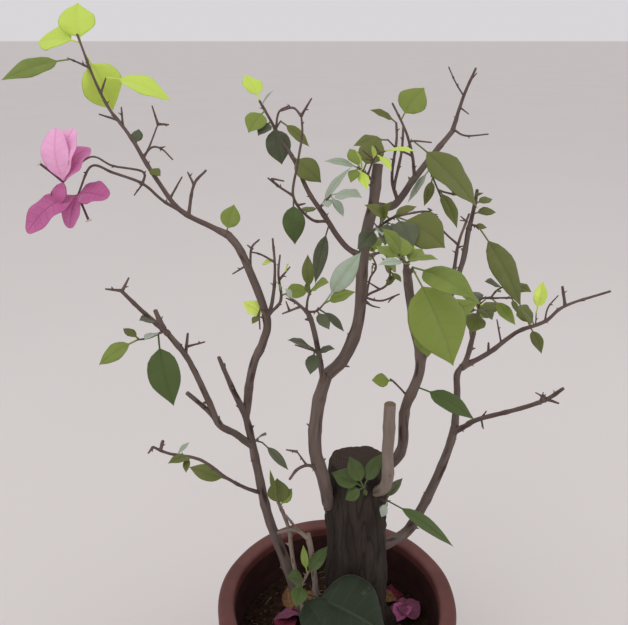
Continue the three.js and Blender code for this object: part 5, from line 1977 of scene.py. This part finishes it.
@dataclass
class SoilBed:
    """The potting soil, its crumbs, its fibres and the dry leaves and bracts that have dropped on it.

    Attributes:
        pot: The pot that it fills.
        top: Height of the soil over the pot's underside.
        fall: How much lower it is at the wall.
        flat: Radius of the level middle.
        slack: The gap to the wall.
        crumbs: How many crumbs lie on it.
        fibres: How many bits of root and straw.
        sides: Points round it.
    """

    pot: Pot
    top: float = SOIL_TOP
    fall: float = 2.5
    flat: float = 62.0
    slack: float = 0.7
    crumbs: int = 2600
    fibres: int = 70
    sides: int = 128

    # Peaty potting soil, crumbly and moist: nearly black brown with drier specks
    SKINS = [
        Finish("potting_soil_moist", "#2a1c16", "#3a2a20", 1.0, 5.0, 1.2, 0.8, 0.15),
        Finish("soil_crumb_dry", "#4a372b", "#5a4536", 1.0, 3.0, 0.8, 0.4, 0.15),
        Finish("bark_chip_reddish", "#5c3527", "#6f4634", 0.9, 3.0, 0.8, 0.3, 0.2),
        Finish("root_fibre_dry", "#9a8668", "#7d6a50", 0.85, 3.0, 0.6, 0.1, 0.25),
    ]
    CRUMB_SHARES = [0.62, 0.28, 0.1]  # how many of the crumbs have each of the first three
    FIBRE = 3  # the number of the fourth
    LUMPS = ((1.1, 24, 31), (0.5, 7, 32))  # the bed's unevenness: height, crest to crest, seed
    SUNK = 1.0  # how much lower it lies for that, so that it stays inside its solid
    FADE = 3.0  # how near the wall it dies away

    # Dropped bracts besides the three solids: (right, back, heading, length, shade)
    DROPPED = (
        (56, 34, -20, 30, FADED),
        (66, 40, -60, 32, FADED),
        (62, 12, 60, 26, DEEP),
        (74, 52, -170, 26, WITHERED),
        (46, 72, -80, 24, WITHERED),
        (38, 78, -8, 15, FADED),
        (-50, 34, 0, 24, WITHERED),
        (-64, 14, 5, 34, FADED),
        (-36, 10, -40, 30, FADED),
        (-58, -8, 60, 30, WITHERED),
        (24, -66, 12, 30, FADED),
        (44, -56, -155, 32, WITHERED),
        (70, -34, 80, 30, FADED),
        (-20, -62, -170, 34, FADED),
        (-34, -44, -60, 31, DEEP),
    )
    SHADES = (FADED, DEEP, FADED)  # the three solids'
    # Dry leaves: (right, back, heading, length, breadth)
    DRY = (
        (-6, -74, 150, 36, 0.6), (74, 8, -120, 34, 0.55), (-44, 20, 100, 38, 0.5), (4, 66, 10, 36, 0.55),
        (40, 50, -30, 30, 0.6), (-70, -20, 120, 30, 0.6), (10, -50, -150, 28, 0.6),
        (-14, 52, -160, 30, 0.5),
    )
    # Dry leaves, brown and matte: face, underside and rib
    DRY_SKINS = [
        LeafSkin("dry_leaf_brown", "#6d4c33", "#825f40", 0.85, 6.0, 0.7, 0.2, 0.2),
        LeafSkin("dry_leaf_under", "#84674a", "#84674a", 0.9, 6.0, 0.7, 0.2, 0.2),
        LeafSkin("dry_leaf_rib", "#94795a", "#94795a", 0.85, 6.0, 0.7, 0.1, 0.2),
    ]
    LIE = (-2, 10)  # how steeply a dropped blade lies, in degrees
    LEAN = 0.35  # how far its face leans away from straight up

    def edge(self) -> float:
        """The radius of the soil's surface at the wall."""
        return self.pot.inner(self.top - self.fall) - self.slack

    def ground(self, places: Array) -> Array:
        """The height of the surface: level in the middle, falling to the wall, and lumpy all over."""
        edge = self.edge()
        reach = np.linalg.norm(places, axis=-1)
        flat = np.concatenate([places, np.zeros((*places.shape[:-1], 1))], axis=-1)
        lumps = sum(high * Lumps(size, seed)(flat) for high, size, seed in self.LUMPS)
        fade = 1 - smooth(edge - self.FADE, edge, reach)
        return self.top - self.fall * smooth(self.flat, edge, reach) + (lumps - self.SUNK) * fade

    def build(self) -> None:
        """Makes the bed with its crumbs and fibres, and the litter on it."""
        skin = Skin(self.SKINS)
        _, ring = circle(self.sides)
        under = self.pot.floor + CLEAR
        wall_heights = np.linspace(under, self.top - self.fall, 12)
        wall = np.stack([self.pot.inner(wall_heights) - self.slack, wall_heights], axis=-1)
        bottom = np.array([[2.0, under], [self.pot.inner(under) - self.slack - 1, under]])
        across = np.linspace(self.edge(), 1, 60)[1:, None, None] * ring[None]
        surface = np.dstack([across, self.ground(across)])
        skin.loft(np.vstack([turned(*np.vstack([bottom, wall]).T, ring), surface]))
        self.add_crumbs(skin)
        self.add_fibres(skin)
        skin.piece("soil_bed", "potting_soil", ["soil"])
        self.litter()

    def spots(self, count: int, dice: np.random.Generator, margin: float) -> Array:
        """Seeded places spread evenly over the soil, up to a margin from the wall."""
        reach = (self.edge() - margin) * np.sqrt(dice.uniform(0, 1, count))
        turn = dice.uniform(0, 2 * np.pi, count)
        return np.stack([reach * np.cos(turn), reach * np.sin(turn)], axis=-1)

    def add_crumbs(self, skin: Skin) -> None:
        """Adds the crumbs: pebbles of seeded size, stretch and dents, half sunk in the surface."""
        dice = np.random.default_rng(41)
        corners, faces = pebble()
        places = self.spots(self.crumbs, dice, 2)
        size = 0.7 + 2.0 * dice.uniform(0, 1, self.crumbs) ** 3
        stretch = dice.uniform(0.6, 1.2, (self.crumbs, 1, 3)) * size[:, None, None]
        dents = dice.uniform(0.75, 1.1, (self.crumbs, len(corners), 1))
        centres = np.concatenate([places, self.ground(places)[:, None] + 0.25 * size[:, None]], axis=-1)
        kinds = dice.choice([0, 1, 2], self.crumbs, p=self.CRUMB_SHARES)
        skin.scatter(corners[None] * dents * stretch + centres[:, None], faces, kinds)

    def add_fibres(self, skin: Skin) -> None:
        """Adds bits of root and straw that lie on the surface."""
        dice = np.random.default_rng(43)
        for place in self.spots(self.fibres, dice, 12):
            start = np.array([*place, float(self.ground(place[None])[0]) + 0.5])
            turn, bend = dice.uniform(0, 360), dice.uniform(-50, 50)
            runs = [(dice.uniform(3, 8), turn, 8), (dice.uniform(3, 8), turn + bend, -12)]
            Limb(Curve.grown(start, runs), (0.7, 0.4), self.FIBRE, 5, 2, 1, 0.02, 0).build(skin)

    def litter(self) -> None:
        """Makes the dropped bracts, the three solids' among them, and the dry leaves."""
        dice = np.random.default_rng(47)
        bracts = Skin(BRACT_SKINS)
        solids = [(*place, FALLEN_LENGTH, shade) for place, shade in zip(FALLEN, self.SHADES)]
        for *place, length, shade in [*solids, *self.DROPPED]:
            self.lay(bracts, BRACT, place, (length, FALLEN_BREADTH), shade.codes(), dice)
        bracts.piece("fallen_bracts", "bract", [f"fallen_bract_{count}" for count in (1, 2, 3)])
        dry = Skin(self.DRY_SKINS)
        for *place, length, breadth in self.DRY:
            self.lay(dry, LEAF, place, (length, breadth), (0, 1, 2), dice)
        dry.piece("dry_leaves", "potting_soil", ["soil"])

    def lay(
        self,
        skin: Skin,
        form: Blade,
        place: Sequence[float],
        size: tuple[float, float],
        skins: tuple[int, int, int],
        dice: np.random.Generator,
    ) -> None:
        """Lays one dropped blade on the soil, tilted a little, its root a little over the surface.

        Args:
            skin: The mesh.
            form: The form of a leaf or a bract.
            place: How far right and back its root lies, and its heading.
            size: Its length, and its breadth as a share of that.
            skins: The finishes of its face, underside and veins.
            dice: What its tilt and its own shape are drawn from.
        """
        right, back, heading = place
        height = float(self.ground(np.array([[right, back]], float))[0])
        along = towards(heading, dice.uniform(*self.LIE))
        lean = [dice.uniform(-self.LEAN, self.LEAN), dice.uniform(-self.LEAN, self.LEAN)]
        leaf = Leaf(np.array([right, back, height + FALLEN_LIFT]), along, *size)
        form.build(skin, leaf, unit(np.array([*lean, 1.0])), skins, dice)


@dataclass
class Studio:
    """The floor, the light and the camera.

    Attributes:
        floor: Half the side of the floor, in metres.
        camera: Where the camera stands, in metres.
        pitch: How far it is turned up from straight down, in degrees.
        lens: Its focal length for its sensor, in millimetres.
        sensor: Width of the sensor in millimetres.
        sky: Strength of the light that comes from all around.
        key: Place, size and power of the large soft lamp at the upper left front.
        fill: The same for the weak one at the right.
        aim: What the lamps point at, in metres.
    """

    floor: float = 150.0
    camera: tuple[float, float, float] = (-0.022, -0.510, 0.692)
    pitch: float = 68.0
    lens: float = 39.0
    sensor: float = 36.0
    sky: float = 0.78
    key: tuple[tuple[float, float, float], float, float] = ((-1.5, -1.4, 2.6), 2.2, 18.0)
    fill: tuple[tuple[float, float, float], float, float] = ((2.0, -0.6, 1.6), 1.6, 8.0)
    aim: tuple[float, float, float] = (0.0, 0.0, 0.4)

    # A matte painted studio floor, pale and warm
    SKIN = Finish("matte_painted_floor", "#e4dfdc", "#e6e1de", 0.85, 900.0, 30.0, 0.05, 0.2)
    SKY = "#f2eff2"

    def build(self) -> None:
        """Makes the floor, the world, the lamps and the camera."""
        scene = bpy.context.scene
        scene.view_settings.view_transform = "Standard"
        side = self.floor
        corners = [(-side, -side, 0), (side, -side, 0), (side, side, 0), (-side, side, 0)]
        mesh = bpy.data.meshes.new("floor")
        mesh.from_pydata(corners, [], [(0, 1, 2, 3)])
        mesh.materials.append(self.SKIN.dress())
        floor = bpy.data.objects.new("floor", mesh)
        scene.collection.objects.link(floor)
        world = bpy.data.worlds.new("soft_sky")
        world.use_nodes = True
        background = world.node_tree.nodes["Background"]
        background.inputs["Color"].default_value = linear(self.SKY)
        background.inputs["Strength"].default_value = self.sky
        scene.world = world
        self.lamp("key_lamp", *self.key)
        self.lamp("fill_lamp", *self.fill)
        data = bpy.data.cameras.new("camera")
        data.sensor_width = self.sensor
        data.lens = self.lens
        camera = bpy.data.objects.new("camera", data)
        camera.location = self.camera
        camera.rotation_euler = (math.radians(self.pitch), 0, 0)
        scene.collection.objects.link(camera)
        scene.camera = camera

    def lamp(self, name: str, place: tuple[float, float, float], size: float, power: float) -> None:
        """Adds a square soft lamp that points at the middle of the plant."""
        data = bpy.data.lights.new(name, "AREA")
        data.size = size
        data.energy = power
        lamp = bpy.data.objects.new(name, data)
        lamp.location = place
        aim = np.array(self.aim) - np.array(place)
        across = math.hypot(aim[0], aim[1])
        lamp.rotation_euler = (math.atan2(across, -aim[2]), 0, math.atan2(aim[1], aim[0]) - math.pi / 2)
        bpy.context.scene.collection.objects.link(lamp)


def main() -> None:
    """Builds the studio and the plant in order."""
    logging.basicConfig(level=logging.INFO, format="%(message)s")
    Studio().build()
    pot = Pot()
    pot.build()
    SoilBed(pot).build()
    growth = Growth()
    Stump().build(growth)
    Boughs().build(growth)
    Crown().build(growth)
    Blossom().build(growth)


if __name__ == "__main__":
    main()
